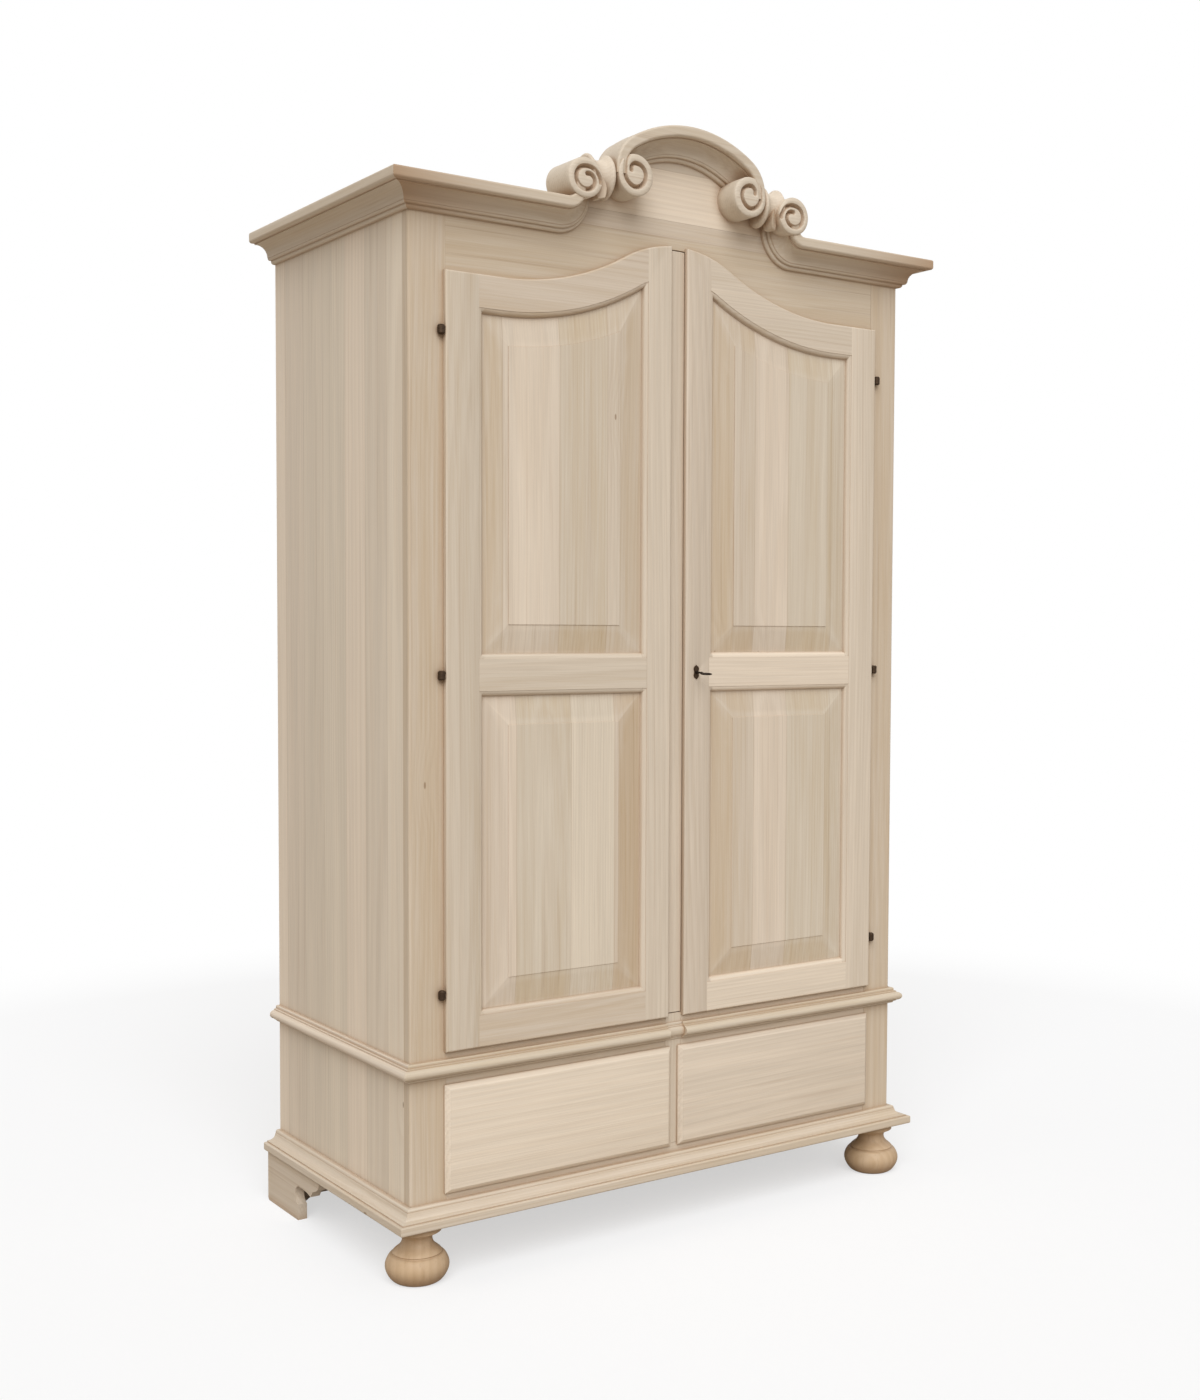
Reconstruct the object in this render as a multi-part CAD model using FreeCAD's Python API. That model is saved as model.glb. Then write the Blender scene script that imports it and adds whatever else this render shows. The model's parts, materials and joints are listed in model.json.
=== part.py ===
import FreeCAD, Part
import math
import os

# Wardrobe with a scrolled crest, two serpentine doors and two drawers, in millimetres.
# X runs across the front, Y from front to back, Z up from the floor, centred on the whole size.

Vector = FreeCAD.Vector
across = Vector(1, 0, 0)
inward = Vector(0, 1, 0)
upward = Vector(0, 0, 1)

# Driving dimensions of the case
body_width = 1205.0
body_depth = 610.0
foot_height = 108.0
base_height = 40.0
base_reveal = 13.0
drawer_height = 208.0
waist_reveal_below = 14.0
waist_height = 35.0
waist_reveal_above = 14.0
door_height = 1455.0
frieze_reveal = 101.0
cornice_height = 60.0

# Driving dimensions of the crest
arch_rise = 177.0
arch_radius = 275.0
arch_half_span = 183.0
arch_end_radius = 75.0
volute_projection = 61.0
outer_volute_x = 257.0
outer_volute_radius = 38.0
inner_volute_x = 141.0
inner_volute_radius = 40.0
inner_volute_rise = 60.0
volute_edge_radius = 4.0
groove_width = 5.0
groove_depth = 7.0
outer_spiral_radii = (26.0, 20.0, 9.0)
outer_spiral_shift = 5.0
outer_spiral_start_angle = 0.0
outer_spiral_end_angle = 100.0
inner_spiral_radii = (26.0, 20.0)
inner_spiral_shift = 1.0
inner_spiral_start_angle = 140.0
inner_spiral_end_angle = 160.0
sweep_radius = 75.0
sweep_beyond_volute = 33.0
collar_x = 211.0
collar_width = 54.0
collar_rim_width = 9.0
collar_rim_radius = 40.0
collar_waist_radius = 33.0
collar_axis_projection = 20.0
collar_rise = 54.0
tympanum_inset = 2.0
tympanum_foot_half_width = 232.0
tympanum_shoulder_rise = 50.0

# Mouldings: how far each stands out from the case
cornice_projection = 57.0
waist_projection = 22.0
waist_block_projection = 11.0
base_projection = 37.0

# Frame, panels and boards of the case
post_width = 76.0
post_thickness = 24.0
post_edge_radius = 5.0
centre_post_width = 40.0
side_thickness = 22.0
back_thickness = 10.0
back_board_count = 9
rear_post_size = 28.0
top_thickness = 18.0
floor_thickness = 18.0
drawer_floor_thickness = 12.0
drawer_floor_drop = 39.0

# Doors: lipped frames that overlap the opening, with raised panels
lip_projection = 12.0
lip_overlap = 5.0
lip_edge_radius = 4.0
door_inner_thickness = 12.0
door_clearance = 2.0
door_rise = 110.0
ogee_shoulder = 121.5
ogee_crown_radius = 260.0
ogee_end_run = 2.0
channel_width = 38.0
meeting_gap = 2.0
hinge_stile_width = 70.0
meeting_stile_width = 59.0
top_rail_width = 62.0
mid_rail_width = 61.0
mid_rail_height = 708.0
bottom_rail_width = 62.0
sticking_width = 10.0
sticking_depth = 9.0
panel_tongue_depth = 8.0
panel_tongue_thickness = 6.0
panel_bevel_width = 55.0
panel_bevel_rise = 6.0
panel_field_step = 1.2

# Drawers
drawer_bevel_width = 9.0
drawer_bevel_depth = 8.0
drawer_front_inner = 10.0
drawer_clearance = 1.5
drawer_running_gap = 0.3
drawer_box_depth = 520.0
drawer_box_height = 160.0
drawer_side_thickness = 12.0
drawer_bottom_thickness = 6.0
drawer_bottom_rise = 10.0
runner_width = 84.0
runner_guide_rise = 25.0
centre_runner_width = 100.0

# Feet
bun_side_inset = 27.0
bun_front_inset = 24.0
bun_radius = 61.0
bun_ring_radius = 48.0
bun_base_radius = 39.0
bun_neck_radius = 28.0
bun_plate_radius = 41.0
bracket_length = 265.0
bracket_thickness = 20.0
bracket_projection = 29.0
bracket_back_gap = 3.0
corner_block_width = 60.0
corner_block_depth = 42.0
corner_block_chamfer = 24.0

# Inside fittings
hat_space_height = 212.0
shelf_thickness = 18.0
shelf_setback = 90.0
batten_height = 30.0
batten_thickness = 20.0
rail_radius = 14.0
rail_drop = 75.0
rail_seat_gap = 0.3
socket_radius = 24.0
socket_thickness = 12.0

# Hinges: short drill-in barrels, three to a door
hinge_radius = 7.0
hinge_height = 18.0
hinge_gap = 0.5
hinge_split = 0.3
hinge_pin_radius = 2.5
hinge_pin_clearance = 0.05
hinge_stem_radius = 2.5
hinge_stem_length = 26.0
post_stem_length = 15.0
hinge_foot_rise = 109.0
hinge_head_drop = 110.0

# Lock, key and bolts
key_offset = 45.0
key_radius = 3.0
key_clearance = 0.3
key_reach = 25.0
key_bit_length = 11.0
key_bit_thickness = 2.5
key_bow_radius = 11.0
key_bow_hole_radius = 7.0
key_bow_thickness = 3.0
keyhole_slot = 3.2
plate_height = 30.0
plate_width = 13.0
plate_waist_width = 8.0
plate_thickness = 1.6
case_start = 24.0
case_width = 48.0
case_height = 72.0
case_depth = 16.0
case_wall = 2.0
bolt_height = 12.0
bolt_thickness = 6.0
bolt_rise = 13.0
bolt_travel = 12.0
bolt_clearance = 0.3
keeper_end = 14.0
keeper_width = 30.0
keeper_height = 46.0
slide_offset = 40.0
slide_plate_width = 24.0
slide_plate_length = 90.0
slide_plate_thickness = 2.0
slide_bar_width = 10.0
slide_bar_thickness = 6.0
slide_bar_length = 120.0
slide_clearance = 0.3
slide_strap_width = 12.0
slide_strap_wall = 2.0
slide_rest_gap = 1.0
slide_travel = 14.0
slide_pocket_depth = 18.0
slide_pocket_clearance = 1.0
slide_knob_radius = 4.0
slide_knob_length = 8.0

overrun = 20.0

# Profiles as shares of projection and height, from the wall at the bottom to the wall at the top.
# A step of two numbers is a straight edge to that point, one of four an arc through a middle point.
cornice_profile_shares = (
    (0.0, 0.0), (0.05, 0.0), (0.13, 0.03, 0.16, 0.10), (0.16, 0.125), (0.19, 0.125),
    (0.27, 0.15, 0.28, 0.20), (0.30, 0.20), (0.30, 0.24), (0.43, 0.50, 0.79, 0.60),
    (0.79, 0.635), (0.90, 0.635), (0.97, 0.66, 1.0, 0.73), (1.0, 0.92),
    (0.975, 0.98, 0.91, 1.0), (0.0, 1.0), (0.0, 0.0))
waist_profile_shares = (
    (0.0, 0.0), (0.14, 0.0), (0.28, 0.03, 0.36, 0.12), (0.55, 0.16), (0.55, 0.22),
    (1.0, 0.47, 0.62, 0.72), (0.55, 0.74), (0.55, 0.80), (0.36, 0.83), (0.36, 0.92),
    (0.33, 0.98, 0.27, 1.0), (0.0, 1.0), (0.0, 0.0))
base_profile_shares = (
    (0.0, 0.0), (0.90, 0.0), (0.97, 0.03, 1.0, 0.10), (1.0, 0.36), (0.98, 0.41, 0.92, 0.43),
    (0.80, 0.43), (0.80, 0.48), (0.71, 0.50), (0.41, 0.60, 0.30, 0.82), (0.27, 0.84),
    (0.24, 0.96, 0.14, 1.0), (0.0, 1.0), (0.0, 0.0))

# Rear bracket foot, as shares of its length from the back corner and of the foot's height
bracket_profile_shares = (
    (0.03, 0.0), (0.594, 0.0), (0.594, 0.30), (0.538, 0.50, 0.63, 0.665), (0.735, 0.66, 0.835, 0.612),
    (0.87, 0.73), (0.93, 0.784, 0.967, 0.837), (1.0, 1.0), (0.0, 1.0), (0.0, 0.075),
    (0.009, 0.022, 0.03, 0.0))

# Rounded moulding round the panel openings, as shares of its width and depth from the face inwards
sticking_shares = ((0.0, 0.0), (0.0, 0.10), (0.344, 0.168), (0.636, 0.364), (0.831, 0.656), (0.90, 1.0),
                   (1.0, 1.0))

# Places worked out from the driving dimensions
half_width = body_width / 2
front_y = volute_projection - (body_depth + volute_projection) / 2
back_y = front_y + body_depth
base_top = foot_height + base_height
drawer_low = base_top + base_reveal
drawer_high = drawer_low + drawer_height
waist_low = drawer_high + waist_reveal_below
waist_top = waist_low + waist_height
door_low = waist_top + waist_reveal_above
door_shoulder = door_low + door_height
cornice_low = door_shoulder + frieze_reveal
cornice_top = cornice_low + cornice_height
opening_edge = half_width - post_width
door_edge = opening_edge + lip_overlap
opening_low = door_low + lip_overlap
drawer_opening_low = drawer_low + lip_overlap
drawer_opening_high = drawer_high - lip_overlap
inner_face = half_width - side_thickness
back_inner = back_y - back_thickness
frame_back = front_y + post_thickness
lip_face = front_y - lip_projection
door_back = front_y + door_inner_thickness
channel_edge = channel_width / 2
key_z = door_low + mid_rail_height
hinge_rises = (hinge_foot_rise, mid_rail_height, door_height - hinge_head_drop)
shelf_height = cornice_top - top_thickness - hat_space_height - shelf_thickness
outer_volute_z = cornice_top + outer_volute_radius
inner_volute_z = cornice_top + inner_volute_rise
sweep_x = outer_volute_x + sweep_beyond_volute
sweep_z = cornice_low + sweep_radius
crown_z = cornice_top + arch_rise
arch_z = crown_z - arch_radius
hinge_x = door_edge + hinge_gap + hinge_radius
hinge_y = front_y - hinge_gap - hinge_radius

# The serpentine door head: a flat shoulder, a hollow and a crown, all tangent
ogee_span = door_edge - ogee_shoulder
ogee_angle = 2 * math.atan(door_rise / ogee_span)
ogee_hollow_radius = ogee_span / math.sin(ogee_angle) - ogee_crown_radius
ogee_crown_z = door_shoulder + door_rise - ogee_crown_radius
ogee_hollow_z = door_shoulder + ogee_hollow_radius

nodes = {}


def block(x0, x1, y0, y1, z0, z1):
    return Part.makeBox(x1 - x0, y1 - y0, z1 - z0, Vector(x0, y0, z0))


def mirrored(shape):
    return shape.mirror(Vector(0, 0, 0), across)


def pair(shape):
    return [shape, mirrored(shape)]


def cut_all(shape, tools):
    for tool in tools:
        shape = shape.cut(tool)
    return shape


def cylinder(radius, start, direction, length):
    return Part.makeCylinder(radius, length, start, direction)


def wire_of(points):
    return Part.makePolygon(points + [points[0]])


def prism(points, direction):
    return Part.Face(wire_of(points)).extrude(direction)


# One moulding profile as a face; place turns a distance out and a height into a point
def profile_face(shares, projection, height, place):
    edges = []
    last = place(shares[0][0] * projection, shares[0][1] * height)
    for step in shares[1:]:
        end = place(step[-2] * projection, step[-1] * height)
        if len(step) == 4:
            middle = place(step[0] * projection, step[1] * height)
            edges.append(Part.Arc(last, middle, end).toShape())
        else:
            edges.append(Part.makeLine(last, end))
        last = end
    return Part.Face(Part.Wire(edges))


def front_profile(shares, projection, height, low, x):
    return profile_face(shares, projection, height, lambda out, up: Vector(x, front_y - out, low + up))


# The waste beyond the mitre of a front run, and beyond that of a return
def front_waste(projection, low, height):
    reach = projection + overrun
    corner = Vector(half_width, front_y, low - overrun)
    points = [corner, corner + Vector(reach, 0, 0), corner + Vector(reach, -reach, 0)]
    return prism(points, upward * (height + 2 * overrun))


def return_waste(projection, low, height):
    reach = projection + overrun
    corner = Vector(half_width, front_y, low - overrun)
    points = [corner, corner + Vector(0, -reach, 0), corner + Vector(reach, -reach, 0)]
    return prism(points, upward * (height + 2 * overrun))


def straight_run(shares, projection, height, low, start_x):
    face = front_profile(shares, projection, height, low, start_x)
    run = face.extrude(across * (half_width + projection - start_x))
    return run.cut(front_waste(projection, low, height))


def side_return(shares, projection, height, low):
    start = front_y - projection
    face = profile_face(shares, projection, height,
                        lambda out, up: Vector(half_width + out, start, low + up))
    run = face.extrude(inward * (back_y - start))
    return run.cut(return_waste(projection, low, height))


# A face turned about an axis parallel to Y that passes over a given point
def swing(face, x, z, degrees):
    return face.revolve(Vector(x, 0, z), inward, degrees)


def turned(face, x, z, degrees):
    copy = face.copy()
    copy.rotate(Vector(x, 0, z), inward, degrees)
    return copy


# Cornice run that sweeps up into a stem beside the outer volute
def cornice_front():
    run = straight_run(cornice_profile_shares, cornice_projection, cornice_height, cornice_low, sweep_x)
    face = front_profile(cornice_profile_shares, cornice_projection, cornice_height, cornice_low, sweep_x)
    bend = swing(face, sweep_x, sweep_z, 90)
    stem = turned(face, sweep_x, sweep_z, 90).extrude(upward * (outer_volute_z - sweep_z))
    return run.fuse(bend).fuse(stem).removeSplitter()


# Arch moulding: a shallow crown and two tight shoulders, with short stems down to the volutes
arch_turn = math.asin((arch_half_span - arch_end_radius) / (arch_radius - arch_end_radius))
shoulder_x = (arch_radius - arch_end_radius) * math.sin(arch_turn)
shoulder_z = arch_z + (arch_radius - arch_end_radius) * math.cos(arch_turn)


def arch_moulding():
    low = crown_z - cornice_height
    face = front_profile(cornice_profile_shares, cornice_projection, cornice_height, low, 0)
    half_turn = math.degrees(arch_turn)
    crown = swing(face, 0, arch_z, half_turn)
    end = turned(face, 0, arch_z, half_turn)
    shoulder = swing(end, shoulder_x, shoulder_z, 90 - half_turn)
    stem_face = turned(end, shoulder_x, shoulder_z, 90 - half_turn)
    stem = stem_face.extrude(upward * (inner_volute_z - shoulder_z))
    half = crown.fuse(shoulder).fuse(stem)
    return half.fuse(mirrored(half)).removeSplitter()


def roll_body(x, z, radius, depth):
    start = front_y - volute_projection
    return cylinder(radius, Vector(x, start, z), inward, depth)


# The spiral that is carved into a volute's face, in half turns of falling radius
def spiral_groove(x, z, radii, start_angle, end_angle):
    y = front_y - volute_projection - overrun

    def place(centre, radius, degrees):
        angle = math.radians(degrees)
        return Vector(centre[0] + radius * math.cos(angle), y, centre[1] + radius * math.sin(angle))

    centre = (x, z)
    angle = start_angle
    outer = []
    inner = []
    for index, radius in enumerate(radii):
        sweep = end_angle if index == len(radii) - 1 else 180
        for side, edges in ((groove_width / 2, outer), (-groove_width / 2, inner)):
            edges.append(Part.Arc(place(centre, radius + side, angle),
                                  place(centre, radius + side, angle + sweep / 2),
                                  place(centre, radius + side, angle + sweep)).toShape())
        angle = angle + sweep
        if index < len(radii) - 1:
            step = radius - radii[index + 1]
            centre = (centre[0] + step * math.cos(math.radians(angle)),
                      centre[1] + step * math.sin(math.radians(angle)))
    head = Part.makeLine(outer[0].Vertexes[0].Point, inner[0].Vertexes[0].Point)
    tail = Part.makeLine(outer[-1].Vertexes[-1].Point, inner[-1].Vertexes[-1].Point)
    wire = Part.Wire(Part.__sortEdges__(outer + inner + [head, tail]))
    return Part.Face(wire).extrude(inward * (overrun + groove_depth))


def volute(x, z, radius, depth, radii, centre_shift, start_angle, end_angle):
    body = roll_body(x, z, radius, depth)
    face_y = front_y - volute_projection
    rim = [edge for edge in body.Edges if edge.BoundBox.YMax < face_y + volute_edge_radius
           and isinstance(edge.Curve, Part.Circle)]
    body = body.makeFillet(volute_edge_radius, rim)
    return body.cut(spiral_groove(x + centre_shift, z, radii, start_angle, end_angle))


# Spool-shaped collar that ties each pair of scrolls; its axis runs across the front
def collar():
    rim_run = collar_rim_width
    half = collar_width / 2
    low = collar_x - half
    high = collar_x + half
    waist_offset = collar_rim_radius - collar_waist_radius
    middle = (low + high) / 2

    def place(along, radius):
        return Vector(along, front_y - collar_axis_projection, cornice_top + collar_rise + radius)

    edges = [Part.makeLine(place(low, 0), place(low, collar_rim_radius - waist_offset / 2)),
             Part.Arc(place(low, collar_rim_radius - waist_offset / 2),
                      place(low + rim_run / 2, collar_rim_radius),
                      place(low + rim_run, collar_rim_radius - waist_offset / 2)).toShape(),
             Part.Arc(place(low + rim_run, collar_rim_radius - waist_offset / 2),
                      place(middle, collar_waist_radius - waist_offset / 2),
                      place(high - rim_run, collar_rim_radius - waist_offset / 2)).toShape(),
             Part.Arc(place(high - rim_run, collar_rim_radius - waist_offset / 2),
                      place(high - rim_run / 2, collar_rim_radius),
                      place(high, collar_rim_radius - waist_offset / 2)).toShape(),
             Part.makeLine(place(high, collar_rim_radius - waist_offset / 2), place(high, 0)),
             Part.makeLine(place(high, 0), place(low, 0))]
    spool = Part.Face(Part.Wire(edges)).revolve(place(low, 0), across, 360)
    behind = block(low - overrun, high + overrun, front_y, front_y + collar_rim_radius,
                   cornice_low, crown_z)
    return spool.cut(behind)


# Board behind the arch, its ends hollowed round the outer rolls
def tympanum():
    crown_radius = arch_radius - tympanum_inset
    end_radius = arch_end_radius - tympanum_inset

    def place(x, z):
        return Vector(x, front_y, z)

    turn = arch_turn
    top = place(0, arch_z + crown_radius)
    join = place(crown_radius * math.sin(turn), arch_z + crown_radius * math.cos(turn))
    early = place(crown_radius * math.sin(turn / 2), arch_z + crown_radius * math.cos(turn / 2))
    bend = (turn + math.pi / 2) / 2
    middle = place(shoulder_x + end_radius * math.sin(bend), shoulder_z + end_radius * math.cos(bend))
    side = place(shoulder_x + end_radius, shoulder_z)
    shoulder = place(tympanum_foot_half_width, cornice_top + tympanum_shoulder_rise)
    foot = place(tympanum_foot_half_width, cornice_top)
    heel = place(0, cornice_top)
    edges = [Part.Arc(top, early, join).toShape(), Part.Arc(join, middle, side).toShape(),
             Part.makeLine(side, shoulder), Part.makeLine(shoulder, foot), Part.makeLine(foot, heel),
             Part.makeLine(heel, top)]
    half = Part.Face(Part.Wire(edges)).extrude(inward * post_thickness)
    board = half.fuse(mirrored(half)).removeSplitter()
    roll = roll_body(outer_volute_x, outer_volute_z, outer_volute_radius, volute_projection + post_thickness)
    return cut_all(board, pair(roll))


# Height of the door head at a distance from the middle, moved down square to itself by a drop
def ogee_height(x, drop):
    crown = ogee_crown_radius - drop
    hollow = ogee_hollow_radius + drop
    if abs(x) <= crown * math.sin(ogee_angle):
        return ogee_crown_z + math.sqrt(crown ** 2 - x ** 2)
    if x < ogee_span:
        return ogee_hollow_z - math.sqrt(hollow ** 2 - (ogee_span - x) ** 2)
    return door_shoulder - drop


# One stretch of the door head as a single edge: straight on the shoulder, an arc elsewhere
def ogee_edge(x0, x1, drop, y):
    start = Vector(x0, y, ogee_height(x0, drop))
    end = Vector(x1, y, ogee_height(x1, drop))
    middle = (x0 + x1) / 2
    if min(x0, x1) >= ogee_span:
        return Part.makeLine(start, end)
    return Part.Arc(start, Vector(middle, y, ogee_height(middle, drop)), end).toShape()


# A region under the door head, from one distance to another, closed at a given foot
def ogee_wire(x0, x1, low, drop, y):
    crown_end = max((ogee_crown_radius - drop) * math.sin(ogee_angle), x0 + ogee_end_run)
    hollow_end = min(ogee_span, x1 - ogee_end_run)
    foot = Vector(x0, y, low)
    corner = Vector(x1, y, low)
    stretches = [ogee_edge(x1, hollow_end, drop, y), ogee_edge(hollow_end, crown_end, drop, y),
                 ogee_edge(crown_end, x0, drop, y)]
    return Part.Wire([Part.makeLine(foot, corner), Part.makeLine(corner, stretches[0].Vertexes[0].Point)]
                     + stretches + [Part.makeLine(stretches[-1].Vertexes[-1].Point, foot)])


def ogee_slab(x0, x1, low, drop, y0, y1):
    return Part.Face(ogee_wire(x0, x1, low, drop, y0)).extrude(inward * (y1 - y0))


def rectangle_wire(x0, x1, z0, z1, y):
    return wire_of([Vector(x0, y, z0), Vector(x1, y, z0), Vector(x1, y, z1), Vector(x0, y, z1)])


def tapered(wire_a, wire_b):
    return Part.makeLoft([wire_a, wire_b], True, True)


# The two panel openings of a door, as wires at any inset from the face edge and any depth
stile_inner = door_edge - hinge_stile_width
meeting_inner = channel_edge + meeting_stile_width
mid_rail_low = door_low + mid_rail_height - mid_rail_width / 2
mid_rail_high = mid_rail_low + mid_rail_width
bottom_rail_high = door_low + bottom_rail_width


def upper_wire(inset, y):
    return ogee_wire(meeting_inner + inset, stile_inner - inset, mid_rail_high + inset,
                     top_rail_width + inset, y)


def lower_wire(inset, y):
    return rectangle_wire(meeting_inner + inset, stile_inner - inset, bottom_rail_high + inset,
                          mid_rail_low - inset, y)


# Raised panel: a thin tongue all round, a long bevel and a slightly stepped field
def raised_panel(outline):
    tongue_face = lip_face + sticking_depth + panel_field_step
    bevel_face = tongue_face - panel_bevel_rise
    tongue = Part.Face(outline(sticking_width - panel_tongue_depth, tongue_face))
    tongue = tongue.extrude(inward * panel_tongue_thickness)
    field_inset = sticking_width + panel_bevel_width
    bevel = tapered(outline(sticking_width, tongue_face), outline(field_inset, bevel_face))
    field = Part.Face(outline(field_inset, bevel_face)).extrude(inward * -panel_field_step)
    return tongue.fuse(bevel).fuse(field).removeSplitter()


# The hollow that a panel opening makes in the door: through the rounded sticking, then straight
def panel_hollow(outline):
    stations = [(inset * sticking_width, lip_face + depth * sticking_depth) for inset, depth in sticking_shares]
    stations = [(0, lip_face - overrun)] + stations + [(sticking_width, door_back + overrun)]
    slices = []
    for (inset, y), (next_inset, next_y) in zip(stations, stations[1:]):
        if next_y == y:
            continue
        if next_inset == inset:
            slices.append(Part.Face(outline(inset, y)).extrude(inward * (next_y - y)))
        else:
            slices.append(tapered(outline(inset, y), outline(next_inset, next_y)))
    return slices[0].multiFuse(slices[1:])


# One door on the +X side as a whole slab, which is then parted into stiles and rails
def door_slab(inner_edge):
    lip = ogee_slab(channel_edge, door_edge, door_low, 0, lip_face, front_y)
    rim = [edge for edge in lip.Edges if edge.BoundBox.YMax < front_y - lip_projection / 2]
    lip = lip.makeFillet(lip_edge_radius, rim)
    inner = ogee_slab(inner_edge, opening_edge - door_clearance, opening_low + door_clearance,
                      lip_overlap + door_clearance, front_y, door_back)
    slab = lip.fuse(inner).removeSplitter()
    for outline in (upper_wire, lower_wire):
        slab = slab.cut(panel_hollow(outline))
        slab = slab.cut(raised_panel(outline))
    return slab


def stile_zone(x0, x1, sticking_x0, sticking_x1):
    y0 = lip_face - overrun
    y1 = door_back + overrun
    zone = block(x0, x1, y0, y1, door_low - overrun, crown_z)
    upper_top = ogee_height(max(sticking_x0, sticking_x1), top_rail_width)
    for low, high in ((bottom_rail_high, mid_rail_low), (mid_rail_high, upper_top)):
        zone = zone.fuse(block(sticking_x0, sticking_x1, y0, y1, low, high))
    return zone


def door_parts(inner_edge):
    slab = door_slab(inner_edge)
    hinge_zone = stile_zone(stile_inner, door_edge + overrun, stile_inner - sticking_width, stile_inner)
    meeting_zone = stile_zone(inner_edge - overrun, meeting_inner, meeting_inner,
                              meeting_inner + sticking_width)
    rails = slab.cut(hinge_zone).cut(meeting_zone)
    by_height = sorted(rails.Solids, key=lambda solid: solid.CenterOfMass.z)
    return {"hinge_stile": slab.common(hinge_zone), "meeting_stile": slab.common(meeting_zone),
            "bottom_rail": by_height[0], "mid_rail": by_height[1], "top_rail": by_height[2],
            "upper_panel": raised_panel(upper_wire), "lower_panel": raised_panel(lower_wire)}


# Hinge barrels on the +X side: the lower knuckle and pin belong to the post, the upper to the door
def hinge_knuckle(low, high):
    return cylinder(hinge_radius, Vector(hinge_x, hinge_y, low), upward, high - low)


def post_knuckle(rise):
    middle = door_low + rise
    knuckle = hinge_knuckle(middle - hinge_height / 2, middle - hinge_split / 2)
    bottom = [edge for edge in knuckle.Edges if edge.BoundBox.ZMax < middle - hinge_height / 4]
    knuckle = knuckle.makeChamfer(hinge_radius / 3, bottom)
    pin = cylinder(hinge_pin_radius, Vector(hinge_x, hinge_y, middle - hinge_height / 4), upward,
                   hinge_height / 2)
    return knuckle.fuse(pin).fuse(post_stem(rise)).removeSplitter()


def post_stem(rise):
    start = Vector(hinge_x, hinge_y, door_low + rise - hinge_height / 4)
    return cylinder(hinge_stem_radius, start, inward, hinge_gap + hinge_radius + post_stem_length)


def door_knuckle(rise):
    middle = door_low + rise
    knuckle = hinge_knuckle(middle + hinge_split / 2, middle + hinge_height / 2)
    top = [edge for edge in knuckle.Edges if edge.BoundBox.ZMin > middle + hinge_height / 4]
    knuckle = knuckle.makeChamfer(hinge_radius / 3, top).fuse(door_stem(rise))
    bore = cylinder(hinge_pin_radius + hinge_pin_clearance, Vector(hinge_x, hinge_y, middle - hinge_height),
                    upward, hinge_height + hinge_height / 4 + hinge_split)
    return knuckle.cut(bore).removeSplitter()


def door_stem(rise):
    start = Vector(hinge_x, hinge_y, door_low + rise + hinge_height / 4)
    return cylinder(hinge_stem_radius, start, across * -1, hinge_radius + hinge_gap + hinge_stem_length)


# Keyhole: a round hole with a slot below it for the bit
def keyhole(y0, y1):
    hole = cylinder(key_radius + key_clearance, Vector(key_offset, y0, key_z), inward, y1 - y0)
    slot = block(key_offset - keyhole_slot / 2, key_offset + keyhole_slot / 2, y0, y1,
                 key_z - key_bit_length - key_clearance, key_z)
    return hole.fuse(slot)


# Key: a plain shaft with a bit at its inner end and a flat ring, standing upright, to turn it by
def key_shape():
    bit_y = door_back + case_depth / 2
    ring_y = lip_face - key_reach - key_bow_radius
    half = key_bow_thickness / 2
    middle = Vector(key_offset - half, ring_y, key_z)
    shaft_start = ring_y + key_bow_hole_radius + half / 2
    shaft = cylinder(key_radius, Vector(key_offset, shaft_start, key_z), inward,
                     bit_y + bolt_thickness / 2 - shaft_start)
    bit = block(key_offset - key_bit_thickness / 2, key_offset + key_bit_thickness / 2,
                bit_y - bolt_thickness / 2, bit_y + bolt_thickness / 2, key_z - key_bit_length, key_z)
    ring = cylinder(key_bow_radius, middle, across, key_bow_thickness)
    hole = cylinder(key_bow_hole_radius, middle, across, key_bow_thickness)
    return shaft.fuse(bit).fuse(ring).cut(hole).removeSplitter()


# Key plate: pointed at the top, drawn in at the waist and rounded at the foot
def key_plate():
    y = lip_face - plate_thickness
    half = plate_height / 2

    def place(x, z):
        return Vector(key_offset + x, y, key_z + z)

    tip = place(0, half)
    upper = place(plate_width / 2, half / 2)
    waist = place(plate_waist_width / 2, 0)
    lower = place(plate_width / 2, -half / 2)
    foot = place(0, -half)
    lower_bulge = place(plate_width / 2 * math.cos(math.pi / 4), -half / 2 - half / 2 * math.sin(math.pi / 4))

    def other(point):
        return Vector(2 * key_offset - point.x, point.y, point.z)

    edges = [Part.makeLine(tip, upper), Part.Arc(upper, waist, lower).toShape(),
             Part.Arc(lower, lower_bulge, foot).toShape(),
             Part.Arc(foot, other(lower_bulge), other(lower)).toShape(),
             Part.Arc(other(lower), other(waist), other(upper)).toShape(),
             Part.makeLine(other(upper), tip)]
    plate = Part.Face(Part.Wire(edges)).extrude(inward * plate_thickness)
    return plate.cut(keyhole(y - overrun, lip_face + overrun))


def bolt_zone(extra):
    middle = door_back + case_depth / 2
    return (middle - bolt_thickness / 2 - extra, middle + bolt_thickness / 2 + extra,
            key_z + bolt_rise - extra, key_z + bolt_rise + bolt_height + extra)


def lock_case():
    half = case_height / 2
    case = block(case_start, case_start + case_width, door_back, door_back + case_depth,
                 key_z - half, key_z + half)
    hollow = block(case_start + case_wall, case_start + case_width - case_wall, door_back + case_wall,
                   door_back + case_depth - case_wall, key_z - half + case_wall, key_z + half - case_wall)
    y0, y1, z0, z1 = bolt_zone(bolt_clearance)
    mouth = block(case_start - overrun, case_start + case_wall + bolt_clearance, y0, y1, z0, z1)
    return case.cut(hollow).cut(mouth).cut(keyhole(door_back - overrun, door_back + case_wall))


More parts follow.
